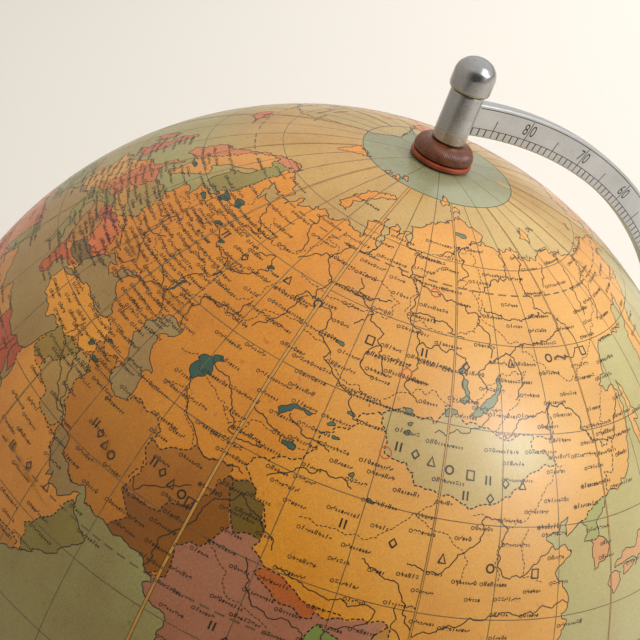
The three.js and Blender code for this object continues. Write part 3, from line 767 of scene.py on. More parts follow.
small_lakes = """35.5 61.7 0.9, 27.5 58.7 0.6, 13.3 58.9 0.6, 38.5 58.3 0.5, 43.5 57 0.4, 56.5 58.5 0.4,
77.5 54.8 0.45, 100.1 51.3 0.75, 92.8 50.3 0.5, 93.5 49 0.3, 93.3 48 0.4, 84 48 0.4, 81.7 46.2 0.4,
83 45 0.35, 87 42 0.35, 90.5 40 0.4, 77.3 42.4 0.7, 103 74.5 0.7, 43 38.6 0.5, 45.5 37.7 0.5,
45.3 40.3 0.35, 30 -7 0.8, 34.7 -12 0.7, 14 13 0.5, 137 -28.5 0.6"""

# Each country: its printed tone and its outline. A later one is printed over an earlier one.
countries = """
e0b066 11 58.9, 10.5 63, 14 68, 20.6 69.1, 23.5 67.9, 24.1 65.8, 20 62, 19.5 59, 16 55, 12 55;
d59274 4 57.5, 4 63, 14 69, 24 72, 32 71, 30.9 69.5, 28.9 69, 28 70, 25.7 69, 23 68.6, 20.5 69.1, 18 68.5,
16 67.5, 15.4 66.2, 14.5 65.3, 13.9 64.2, 12.2 63.5, 12.1 61.5, 12.8 61.3, 11.8 59.5, 11 58.9, 9 57.5;
9ea270 20.6 69.1, 24 68.7, 25.7 69.1, 28 70, 29 69, 28.6 68.2, 30 67.7, 29 66.9, 30.1 65.7, 29.7 64.8,
31.5 62.9, 28 60.6, 26 59.5, 21 59.5, 20 61, 22 64, 24.1 65.8, 23.6 67.5;
b6ab7c 14.3 53.9, 18.5 55, 22.8 54.4, 23.9 52.7, 23.6 51.5, 24 50.5, 22.6 49.1, 20 49.3, 18.8 49.5, 15 51,
14.6 52.5;
d9b36a 12.1 50.3, 15 51, 18.8 49.6, 22.5 49.1, 22.1 48.4, 18.8 47.8, 17 48, 13.9 48.7;
c9736a 16.2 46.9, 17 48, 18.8 47.8, 22.1 48.4, 22.9 48, 20.3 46.1, 18.8 45.9;
c8a05c 13.5 46.5, 16.5 46.5, 18.8 45.9, 20.3 46.1, 22.5 44.4, 22.4 42.3, 20.5 41, 19 42, 13 45;
d5774f 19.5 42, 21 41, 23 41.3, 26.5 41.5, 26 40.5, 27 36, 20 36;
96a56e 9.5 47.5, 13 48.7, 17 48, 16 46.7, 13.5 46.5, 10 46.8;
a5b27b 7 44, 7 45.9, 10 46.5, 13.5 46.4, 12.5 44, 18.6 40, 16.5 37.5, 12 41, 8 43.5;
d98a5e 6 51, 7 53.6, 9 55, 14.3 54, 14.6 51, 12.1 50.3, 13.9 48.7, 13 47.6, 7.5 47.6, 8 49;
dfbb74 -5 48, 2.5 51.2, 6 49.5, 8 49, 7.5 47.6, 6 46.2, 7.5 43.8, 3 42.4, -1.8 43.3;
9dae84 -10 36, -9.5 44, -1.8 43.3, 3.3 42.4, 0 38, -2 36;
d2836d -11 50, -8 59, -1 59, 2 52, 0 50;
e8906a 20.3 46.1, 22.9 48, 26.6 48.3, 28.2 45.5, 29.7 45.2, 28.6 43.7, 25 43.7, 22.5 44.3;
8a7c58 22.5 44.2, 25 43.7, 28.6 43.7, 28 42, 26 41.7, 23 41.3, 22.4 42.3;
ffc44c 26 40.7, 28 42, 36 43, 41.5 41.5, 43.6 41.1, 44.8 39.7, 44.3 37.9, 42.4 37.1, 38 36.8, 36.2 35.9,
30 35.5, 26 37, 25.6 40;
f6c066 35 33, 34.3 31, 35 28, 37 24, 39 21, 42 15, 43 12, 53 15, 60 22, 56.5 26.8, 52 25, 48 28.5,
44.7 29.2, 42 31.2, 39.2 32, 36.8 32.3, 35.6 33;
d9ab5a 42.7 16.3, 44.5 17.4, 47 17, 52.5 16.5, 52 14.5, 45 12, 42 13;
9fa56b 52 19, 55 22.5, 56 24.8, 59.8 22.8, 58 18.5, 53.2 16.3;
b0a256 35.7 35.9, 36.6 36.8, 38 36.8, 42.4 37.1, 41.3 34.5, 38.8 33.4, 36.8 32.3, 35.6 33, 36 34.6;
c8b480 42.4 37.1, 44.8 37.2, 46.1 35.8, 45.5 34.5, 46 33, 47.8 31, 48.5 29.9, 47.7 30, 46.5 29.1,
44.7 29.2, 42 31.2, 39.2 32, 38.8 33.4, 41.3 34.5;
d29a2c 44.8 39.7, 46 38.9, 48 39.6, 48.9 38.4, 50 37.4, 53.9 37.3, 56.3 38.1, 59.3 37.5, 61.2 36.6,
60.6 34.2, 61 31.4, 60.9 29.9, 63.2 27.2, 61.6 25, 57 26, 52 27.5, 48.6 30, 47.8 31, 46 33, 45.5 34.5,
46.1 35.8, 44.8 37.2, 44 39.4;
bd882e 61.2 35.6, 62.7 35.3, 64.6 36.4, 66.5 37.4, 69.3 37.1, 71.5 37.9, 71.6 36.7, 74.9 37.4, 71.3 36.1,
71.5 34.6, 70.3 33.3, 69.3 31.9, 66.6 31, 66.3 29.9, 62.5 29.4, 60.9 29.9, 61.7 31.4, 60.6 34.2;
9c6c1c 60.9 29.9, 62.5 29.4, 66.3 29.9, 66.6 31, 69.3 31.9, 71.5 34.6, 71.3 36.1, 72.5 36.8, 74 34,
74.5 32, 73 29, 70 27.8, 71 24.5, 68 23.6, 61.6 25, 63.2 27.2;
b98a86 74 34.3, 76 32.5, 79 32.7, 78.7 31.3, 81 30, 80.3 28.8, 88 27, 97 28.2, 94 23.5, 92.5 21, 88 21,
80.5 15, 80.5 10, 78 7.5, 72 18, 68 22.8, 71 24.5, 70 27.8, 73 29, 74.5 32;
88ab6c 88.9 21.5, 88.2 24.3, 89 26.3, 92.2 25.1, 91.5 23, 92.4 20.8;
c77a4d 80.2 28.9, 81.2 30.1, 88 28, 88 26.5, 83.5 27.3;
80702e 72.5 36.8, 74.9 37.2, 77.8 35.5, 79.5 32.7, 76 32, 74.5 32.8, 73.8 34.4;
ecb346 73.8 39.5, 76 40.4, 80.2 42.1, 80.8 43.2, 80.4 44.9, 82.5 45.2, 82.3 45.6, 85.5 47.1, 85.6 48.3,
87.8 49.2, 116 49.8, 119.8 49.5, 120.7 52, 120.2 52.8, 121 53.3, 125.6 53.1, 127.5 50.3, 130.7 48.9,
131 47.7, 134.7 48.4, 133.1 45.1, 131 44.9, 131.2 43.5, 130.6 42.4, 128 42, 126.3 41.4, 124.3 40, 122 38,
124 32, 122 28, 118 21.8, 110 18, 108 21.5, 105.3 23.3, 101.7 21.2, 98.7 24.1, 97.5 28.3, 92 27.7,
88.8 27.9, 81 30, 78.7 31.3, 78.9 34.3, 77.8 35.5, 76 36.1, 74.9 37.2, 73.8 38.5;
c79a55 92 21, 92.5 23, 94.8 25.5, 97.5 28.3, 98.7 24.1, 101.2 21.5, 98 19.5, 98.8 15, 99 10, 96 14;
d58759 98 19.5, 100.5 20.3, 101.2 17.6, 104 18.3, 105.5 15, 102.5 13.5, 102.5 11, 101 6, 99 6, 98.4 8.5,
99 13;
9aa86d 101.2 21.5, 105.3 23.3, 108.2 21.5, 110 14, 108 10, 104.5 8, 102.5 11.7, 102.5 13.5, 105.5 15,
104 18.3, 101.2 17.6;
c2b988 87.8 49.2, 92.3 50.8, 94.6 50.1, 97.3 49.8, 98.3 50.5, 98 52, 102 51.4, 102.3 50.6, 106.7 50.3,
110.5 49.2, 114.4 50.2, 116.7 49.8, 115.8 48.2, 118.5 47.9, 119.8 46.8, 116.3 46.3, 113.6 44.8,
111.9 43.7, 110 42.6, 105 41.6, 100.8 42.6, 96.4 42.7, 95.4 44.2, 91 45.2, 90.9 46.8, 88.5 48.3;
88aa6c 124.2 40, 126.3 41.4, 128 42, 130.6 42.5, 130 40, 128.6 38.4, 126.5 38, 124 37.6;
d58a66 124 37.6, 126.5 38, 128.6 38.4, 130.5 37, 129.5 34.5, 126 33.8;
d69a83 128.5 30, 133 31.5, 142 34, 146.5 42.5, 144 44.5, 141.5 46.2, 139 42, 137.5 38.5, 130 34.6;
cd6a4f 24.9 31.8, 34.3 31.5, 36 24, 35.5 22, 25 22; dcae62 9.5 30, 11.5 33.5, 20 33.3, 24.9 31.8, 25 20,
15 23, 10 24;
c3a25f 25 22, 37.5 22, 38 17, 36 12, 33 9, 28 4, 23 10, 24 15.5; d98d60 -9 30, -2 36, 8.5 38, 9.5 30,
10 24, 4 19, -5 25;
99a871 7 30, 8 38, 12 37.5, 11.5 33; c9795a 33 5, 36 12, 38 18, 43 12, 48 8, 42 4, 36 4.5;
d8b46e 12 -5, 18 5, 28 5, 31 0, 30 -8, 24 -12, 14 -7; a4ac78 33 4, 42 4, 42 -2, 39 -5, 34 -1;
cc8765 11 -17, 13 -5, 22 -7, 24 -17; d9a35f 29 -1, 34 -1, 41 -5, 41 -11, 31 -9; b9a36b 30 -22, 31 -9,
41 -11, 41 -16, 33 -28;
d77f63 14 -28, 20 -22, 30 -22, 33 -28, 28 -36, 17 -36; 9fae7f 13 4, 15 23, 24 20, 22 10, 15 3;
dc9d5c -18 13, -12 27, -5 25, 4 19, 3 12, -5 10; cf7f64 2 6, 3 13, 14 13, 9 4;
9aa878 -18 8, -17 14, -5 10, 2 12, 2 4, -8 3;
dfb36b -170 72, -141 70, -141 60, -130 54, -162 52, -170 60;
d8836a -141 60, -141 75, -60 84, -52 46, -66 43, -83 42, -95 49, -124 49;
9fb088 -125 49, -95 49, -83 42, -66 45, -75 34, -79 24, -97 25.8, -106 31.5, -118 32.5, -126 41;
dba562 -118 32.5, -106 31.5, -97 25.8, -94 17.5, -86 22, -86 16, -95 13, -112 20;
d78a6d -95 13, -88 16, -82 16, -77 8, -82 6;
9aad80 -74 0, -70 -10, -58 -17, -54 -26, -57 -31, -48 -30, -33 -5, -50 5, -60 5, -66 1;
dca663 -70 -22, -58 -22, -54 -26, -58 -34, -64 -56, -70 -50; d57f62 -82 0, -75 0, -70 -10, -70 -18,
-82 -5;
c3b27b -76 -17, -70 -18, -70 -40, -73 -56, -78 -50; cfa070 -79 0, -77 13, -67 12, -67 2, -74 -3;
c46f5e -67 2, -67 12, -60 11, -60 5, -64 3; d9b777 -69 -18, -69 -11, -60 -15, -58 -20, -64 -23;
d58d70 112 -9, 155 -9, 155 -46, 112 -46; dcb57c 165 -33, 180 -33, 180 -48, 165 -48;
9caf80 94 7, 120 7, 142 1, 141 -10, 94 -10; dba36c 119 4.5, 119 19, 127 19, 128 4.5; c98a6a 141 0,
141 -11, 152 -11, 151 -2;
c3bd9b -75 59, -75 84, -10 84, -10 59; dcd8c0 -180 -60, 180 -60, 180 -90, -180 -90;
d8846c -25 63, -25 67, -13 67, -13 63; b7b99a 42 -26, 52 -26, 52 -11, 42 -11
"""


def trail(text):
    """Longitude and latitude pairs, written out in degrees, as an array."""
    return np.array(text.replace(",", " ").split(), float).reshape(-1, 2)


def surveyed(points, closed=True, step=0.4):
    """Points closely set along an outline, each shifted by a fixed field of ripples: a sum
    of sines over the map. The field is the same everywhere, so shared borders still meet."""
    ends = np.roll(points, -1, 0) if closed else points[1:]
    rows = []
    for start, end in zip(points, ends):
        count = max(1, math.ceil(np.hypot(*(end - start)) / step))
        rows.append(start + (end - start) * np.arange(count)[:, None] / count)
    if not closed:
        rows.append(points[-1:])
    points = np.concatenate(rows)
    draws = np.random.default_rng(5)
    shift = np.zeros_like(points)
    for length, reach in ((5.0, 0.15), (2.7, 0.12), (1.5, 0.10), (0.9, 0.06)):
        for _ in range(3):
            facing, phase, push = draws.uniform(0, 2 * math.pi, 3)
            wave = np.sin(points @ [math.cos(facing), math.sin(facing)] * 2 * math.pi / length + phase)
            shift += reach * wave[:, None] * [math.cos(push), math.sin(push)]
    narrow = np.maximum(np.cos(np.radians(points[:, 1])), 0.3)
    shift[:, 0] /= narrow
    points = points + shift
    points[:, 1] = np.clip(points[:, 1], -90, 90)
    return points


def blob(lon, lat, size, corners=9):
    """A small lake: a circle of uneven radius."""
    t = np.linspace(0, 2 * math.pi, corners, endpoint=False)
    uneven = size * (1 + 0.3 * np.sin(2 * t + lon) + 0.2 * np.sin(3 * t + lat))
    east = uneven * np.cos(t) / math.cos(math.radians(lat))
    return np.stack([lon + east, lat + 0.6 * uneven * np.sin(t)], 1)


lands = [surveyed(trail(text)) for text in land_outlines.split(";")]
lakes = [surveyed(trail(text)) for text in lake_outlines.split(";")]
lakes += [blob(*map(float, text.split())) for text in small_lakes.split(",")]
nations = []
for text in countries.strip().split(";"):
    code, corners = text.split(maxsplit=1)
    nations.append((code, surveyed(trail(corners))))


def inside(places, outline):
    """True for each place within an outline: a line west from it crosses the outline an odd
    number of times. Outlines are given from 180 west, so a place is also tried one turn back."""
    found = np.zeros(len(places), bool)
    low, high = outline.min(0), outline.max(0)
    for turn in (0, 360):
        x, y = places[:, 0] - turn, places[:, 1]
        near = np.flatnonzero((x > low[0]) & (x < high[0]) & (y > low[1]) & (y < high[1]))
        if not len(near):
            continue
        px, py = x[near, None], y[near, None]
        ax, ay = outline[:, 0], outline[:, 1]
        bx, by = np.roll(ax, -1), np.roll(ay, -1)
        straddles = (ay > py) != (by > py)
        crossing = ax + (py - ay) * (bx - ax) / np.where(by == ay, 1e-9, by - ay)
        found[near] |= (straddles & (px < crossing)).sum(1) % 2 == 1
    return found


def on_land(places):
    return np.any([inside(places, outline) for outline in lands], axis=0)


def on_lake(places):
    return np.any([inside(places, outline) for outline in lakes], axis=0)


near_sea_tone, ocean_tone = "b4a988", "abb99c"
near_seas = trail("-6 30, 56 22, 56 48, 27 48, -6 45")


def printed_tone(places, corner_lats):
    """The flat colour that the map prints on each triangle: sea, land, countries over it, lakes.
    The sea alone changes within a triangle: green, and from 58 degrees north ever more ochre."""
    ochre = np.clip((corner_lats - 58) / 10, 0, 1)[..., None]
    tones = ochre * linear(sea_tone) + (1 - ochre) * linear(ocean_tone)
    tones[inside(places, near_seas)] = linear(near_sea_tone)
    tones[np.abs(places[:, 1]) > 80] = linear(polar_tone)
    dry = on_land(places)
    tones[dry] = linear(land_tone)
    for code, outline in nations:
        tones[dry & inside(places, outline)] = linear(code)
    tones[dry & on_lake(places)] = linear(lake_tone)
    tones[dry & inside(places, lakes[0])] = linear(near_sea_tone)
    return tones


paper_thickness = 0.0004


def on_globe(places, radius=ball_radius):
    """The point over each longitude and latitude, with the ball at rest."""
    places = np.radians(places - [210.5, 0.0])
    lon, lat = places[..., 0, None], places[..., 1, None]
    across = np.cos(lon) * arm_side + np.sin(lon) * np.array([0.0, 1.0, 0.0])
    return ball_centre + radius * (np.cos(lat) * across + np.sin(lat) * north)


def sheet_mesh(name, places, faces):
    """A closed thin sheet: outer and inner face 0.4 mm apart, with a rim round its open edges.
    Normals run straight out from the ball's centre, so no facet shows."""
    edges = np.concatenate([faces[:, [0, 1]], faces[:, [1, 2]], faces[:, [2, 0]]])
    size = len(places)
    keys = np.minimum(*edges.T) * size + np.maximum(*edges.T)
    _, first, uses = np.unique(keys, return_index=True, return_counts=True)
    rim = edges[first[uses == 1]]
    rim_faces = np.stack([rim[:, 1], rim[:, 0], rim[:, 0] + size, rim[:, 1] + size], 1)
    outer, inner = on_globe(places), on_globe(places, ball_radius - paper_thickness)
    mesh = bpy.data.meshes.new(name)
    polygons = [*faces.tolist(), *(faces[:, ::-1] + size).tolist(), *rim_faces.tolist()]
    mesh.from_pydata(np.vstack([outer, inner]).tolist(), [], polygons)
    tones = printed_tone(places[faces].mean(1), places[faces][..., 1])
    inward = tones[:, ::-1]
    edge_tones = np.tile(linear("b9a070"), (4 * len(rim), 1))
    corners = np.concatenate([tones.reshape(-1, 3), inward.reshape(-1, 3), edge_tones])
    layer = mesh.color_attributes.new(name="print_colour", type="FLOAT_COLOR", domain="CORNER")
    layer.data.foreach_set("color", np.hstack([corners, np.ones((len(corners), 1))]).ravel())
    mesh.polygons.foreach_set("use_smooth", [True] * len(mesh.polygons))
    outward = (outer - ball_centre) / ball_radius
    mesh.normals_split_custom_set_from_vertices(np.vstack([outward, -outward]).tolist())
    return bpy.data.objects.new(name, mesh)


def cut_by_outlines(grid, frames, outlines, keep):
    """Triangles over a region of the map. Grid points and all outlines that reach the region are
    joined so that each outline becomes a chain of edges, and what keep() rejects is dropped."""
    points, edges, count = [grid], [], len(grid)
    for ring, closed in [(frame_ring, True) for frame_ring in frames] + outlines:
        i = np.arange(len(ring)) + count
        edges.append(np.stack([i, np.roll(i, -1)], 1)[:len(i) if closed else -1])
        points.append(ring)
        count += len(ring)
    flat = [Vector(point) for point in np.concatenate(points).tolist()]
    joined = geometry.delaunay_2d_cdt(flat, np.concatenate(edges).tolist(), [], 0, 1e-6)
    places, faces = np.array([tuple(v) for v in joined[0]]), np.array(joined[2])
    faces = faces[keep(places[faces].mean(1))]
    a, b, c = (places[faces[:, i]] for i in range(3))
    area = np.cross(b - a, c - a)
    faces, area = faces[np.abs(area) > 1e-10], area[np.abs(area) > 1e-10]
    faces[area < 0] = faces[area < 0][:, ::-1]
    used = np.unique(faces)
    renumber = np.zeros(len(places), int)
    renumber[used] = np.arange(len(used))
    return places[used], renumber[faces]


def reaching(low, high):
    """Runs of every outline that pass through a box of longitude and latitude."""
    runs = []
    for outline in [*lands, *lakes, near_seas, *(outline for _, outline in nations)]:
        for turn in (0, 360):
            loop = np.vstack([outline, outline[:1]]) + [turn, 0]
            near = np.all((loop > np.array(low) - 1.5) & (loop < np.array(high) + 1.5), axis=1)
            pairs = np.flatnonzero(near[:-1] | near[1:])
            for run in np.split(pairs, np.flatnonzero(np.diff(pairs) > 1) + 1):
                if len(run):
                    runs.append((loop[run[0]:run[-1] + 2], False))
    return runs


def gore_sheet(number):
    """One strip of the map, from its west seam to the seam 30 degrees east."""
    west = 220.0 + 30 * (number - 1) if number < 6 else 10.0 + 30 * (number - 6)
    low, high = (west, -80.0), (west + 30, 80.0)
    lon, lat = np.meshgrid(np.linspace(west, west + 30, 13)[1:-1], np.linspace(-80, 80, 65)[1:-1])
    grid = np.stack([lon.ravel(), lat.ravel()], 1)
    border = np.concatenate([
        np.stack([np.linspace(west, west + 30, 13)[:-1], np.full(12, -80.0)], 1),
        np.stack([np.full(64, west + 30), np.linspace(-80, 80, 65)[:-1]], 1),
        np.stack([np.linspace(west + 30, west, 13)[:-1], np.full(12, 80.0)], 1),
        np.stack([np.full(64, west), np.linspace(80, -80, 65)[:-1]], 1)])

    def keep(places):
        return np.all((places > low) & (places < high), axis=1)

    places, faces = cut_by_outlines(grid, [border], reaching(low, high), keep)
    return sheet_mesh(f"map_gore_{number:02d}", places, faces)


def calotte_sheet(pole):
    """The round cap of the map within 10 degrees of a pole, with a hole for the axle. It is cut
    out flat: a point lies at its angle from the pole, in the direction of its longitude."""
    hole = math.degrees(0.0049 / ball_radius)
    t = np.linspace(0, 2 * math.pi, 96, endpoint=False)
    circle = np.stack([np.cos(t), np.sin(t)], 1)
    grid = np.concatenate([circle[::2] * reach for reach in np.arange(2.6, 9.5, 1.1)])

    def flatten(places):
        lon = np.radians(places[:, 0])
        return np.stack([np.cos(lon), np.sin(lon)], 1) * (90 - pole * places[:, 1])[:, None]

    runs = []
    for outline in [*lands, *(outline for _, outline in nations)] if pole > 0 else []:
        high = outline[:, 1] > 78.5
        for run in np.split(np.flatnonzero(high), np.flatnonzero(np.diff(np.flatnonzero(high)) > 1) + 1):
            if len(run) > 1:
                runs.append((flatten(outline[run]), False))

    def keep(flat):
        reach = np.linalg.norm(flat, axis=1)
        return (reach < 10) & (reach > hole)

    flat, faces = cut_by_outlines(grid, [circle * 10, circle * hole], runs, keep)
    places = np.stack([
        np.degrees(np.arctan2(flat[:, 1], flat[:, 0])), pole * (90 - np.linalg.norm(flat, axis=1))], 1)
    name = "north_map_cap" if pole > 0 else "south_map_cap"
    return places, faces if pole > 0 else faces[:, ::-1], name


varnish_tone = "fae6bd"
# The side of the ball at 132 east, 50 north, which faces the windows. The paper's colour is ramped by
# nearness to it: partly fading, partly painted light and painted shade.
faded_and_lit_side = tuple((on_globe(np.array([132.0, 50.0]), 1.0) - ball_centre).tolist())


def map_paper():
    """Print under old varnish, paler towards the windows' side and darker and yellower away from it: partly
    fading by age and sun, partly painted light, painted highlight and painted shade.
    Blotches and foxing darken it, and fine grain and creases from pasting break up its gloss."""
    paper = Finish("varnished_map", (0, 0, 0), 0.5, Coat_Weight=0.85, Coat_Roughness=0.26, Coat_IOR=1.52,
                   Specular_IOR_Level=0.15)
    tone = paper.add("ShaderNodeAttribute", {"attribute_name": "print_colour"}, {}, "Color")
    blotches = paper.noise(34, 6, roughness=0.65).ramp(0.42, 0.75)
    browning = paper.noise(9, 3).ramp(0.35, 0.7)
    foxing = paper.noise(330, 2).ramp(0.66, 0.76)
    grain = paper.noise(1700, 3)
    tone = paper.blend(1.0, tone, linear(varnish_tone), "MULTIPLY")
    tone = paper.blend(browning * 0.4, tone, linear("d9b27c"), "MULTIPLY")
    tone = paper.blend(blotches * 0.4, tone, linear("cba06c"), "MULTIPLY")
    tone = paper.blend(foxing * 0.3, tone, linear("a9793f"), "MULTIPLY")
    tone = paper.blend(grain.ramp(0.3, 0.7) * 0.4, tone, linear("b99a70"), "MULTIPLY")
    middle = tuple(ball_centre)
    outward = paper.add("ShaderNodeVectorMath", {"operation": "SUBTRACT"}, {0: paper.place, 1: middle})
    sides = {0: outward, 1: faded_and_lit_side}
    faded_and_lit = paper.add("ShaderNodeVectorMath", {"operation": "DOT_PRODUCT"}, sides, "Value")
    reach = faded_and_lit * (1 / ball_radius)
    # Yellower and darker away from the windows: partly age, partly painted shade.
    tone = paper.blend(reach.ramp(0.85, 0.1), tone, linear("fcedb8"), "MULTIPLY")
    # Paler towards the windows: partly sun fading, partly painted light and a painted highlight on the
    # varnish.
    tone = paper.blend(reach.ramp(0.78, 1.0, 0.0, 0.26), tone, linear("f6e6a0"))
    paper.give("Base Color", tone)
    paper.give("Roughness", blotches.ramp(0, 1, 0.46, 0.6))
    creases = paper.noise(120, 4, paper.stretched((1.0, 1.0, 0.12), (0.0, math.radians(-23.5), 0.0)))
    paper.relief(grain * 0.35 + creases * 1.1, 0.0002, 0.5)
    return paper.material


map_finish = map_paper()
for number in range(1, 13):
    show(gore_sheet(number), "ball", map_finish, [f"gore_{number:02d}"])


def cap_piece(pole):
    places, faces, name = calotte_sheet(pole)
    return sheet_mesh(name, places, faces)


show(cap_piece(1), "ball", map_finish, ["north_calotte"])
show(cap_piece(-1), "ball", map_finish, ["south_calotte"])

# ---- Printed lines ------------------------------------------------------------------------------
# Everything the map prints in line: the grid of every ten degrees, coasts, borders, rivers, and the seams,
# whose dark edges are partly painted shade.
# Each ink is a thin film of flat strokes just over the paper, on the ball.


class Ink:
    """Flat strokes of one ink, gathered into one piece that lies a set height over the paper."""

    def __init__(self, height):
        self.radius = ball_radius + height / 1000
        self.points, self.faces, self.count = [], [], 0

    def put(self, points, faces):
        self.faces.append(faces + self.count)
        self.points.append(points)
        self.count += len(points)

    def stroke(self, line, width):
        """A band along a line of longitudes and latitudes: each point is doubled and moved half
        the width to either side, square to the line. Width in millimetres."""
        if len(line) < 2:
            return
        up = on_globe(line, 1.0) - ball_centre
        along = np.gradient(up, axis=0)
        side = np.cross(up, along)
        side *= width / 2000 / np.maximum(np.linalg.norm(side, axis=1), 1e-12)[:, None]
        centre = ball_centre + up * self.radius
        first = 2 * np.arange(len(line) - 1)[:, None]
        self.put(np.stack([centre + side, centre - side], 1).reshape(-1, 3), first + [0, 1, 3, 2])

    def dash(self, line, width, mark, gap, wanted=None):
        """Short strokes of a given length and gap along a line, in millimetres."""
        reach = np.linalg.norm(np.diff(on_globe(line), axis=0), axis=1) * 1000
        distance = np.concatenate([[0], np.cumsum(reach)])
        starts = np.arange(0, max(distance[-1] - mark, 0.01), mark + gap)
        spots = starts[:, None] + np.linspace(0, mark, 3)
        marks = np.stack([np.interp(spots, distance, line[:, i]) for i in (0, 1)], -1)
        if wanted is not None:
            marks = marks[wanted(marks[:, 1])]
        for piece in marks:
            self.stroke(piece, width)

    def piece(self, name, material):
        points = np.concatenate(self.points)
        mesh = bpy.data.meshes.new(name)
        mesh.from_pydata(points.tolist(), [], [face for faces in self.faces for face in faces.tolist()])
        mesh.polygons.foreach_set("use_smooth", [True] * len(mesh.polygons))
        outward = points - ball_centre
        mesh.normals_split_custom_set_from_vertices(
            (outward / np.linalg.norm(outward, axis=1)[:, None]).tolist())
        return show(bpy.data.objects.new(name, mesh), "ball", material)


def map_ink(name, strong, weak):
    """Printer's ink under the same varnish, thinner in places."""
    ink = Finish(name, (0, 0, 0), 0.5, Coat_Weight=0.85, Coat_Roughness=0.26, Coat_IOR=1.52,
                 Specular_IOR_Level=0.15)
    ink.give("Base Color", ink.blend(ink.noise(260, 4).ramp(0.35, 0.7), linear(strong), linear(weak)))
    return ink.material


line_ink = map_ink("brown_line_ink", "1e1810", "3d3122")
grid_ink = map_ink("grid_ink", "5a482c", "7c6640")


def parallel(lat, west=0.0, east=360.0, step=1.5):
    lon = np.arange(west, east + step / 2, step)
    return np.stack([lon, np.full(len(lon), lat)], 1)


def meridian(lon, south=-80.0, top=80.0, step=1.5):
    count = int(abs(top - south) / step) + 1
    return np.stack([np.full(count, float(lon)), np.linspace(south, top, count)], 1)


def print_grid():
    grid = Ink(0.02)
    for lat in range(-80, 81, 10):
        grid.stroke(parallel(lat), 0.28 if lat else 0.6)
    for lon in range(0, 360, 10):
        grid.stroke(meridian(lon), 0.28)
        if lon % 30 == 0:
            for pole in (1, -1):
                grid.stroke(meridian(lon, 80.0 * pole, 88.0 * pole), 0.28)
    for lat in (66.5, 23.5, -23.5, -66.5):
        grid.dash(parallel(lat, step=0.7), 0.5, 3.2, 1.8)
    grid.piece("printed_grid", grid_ink)


print_grid()

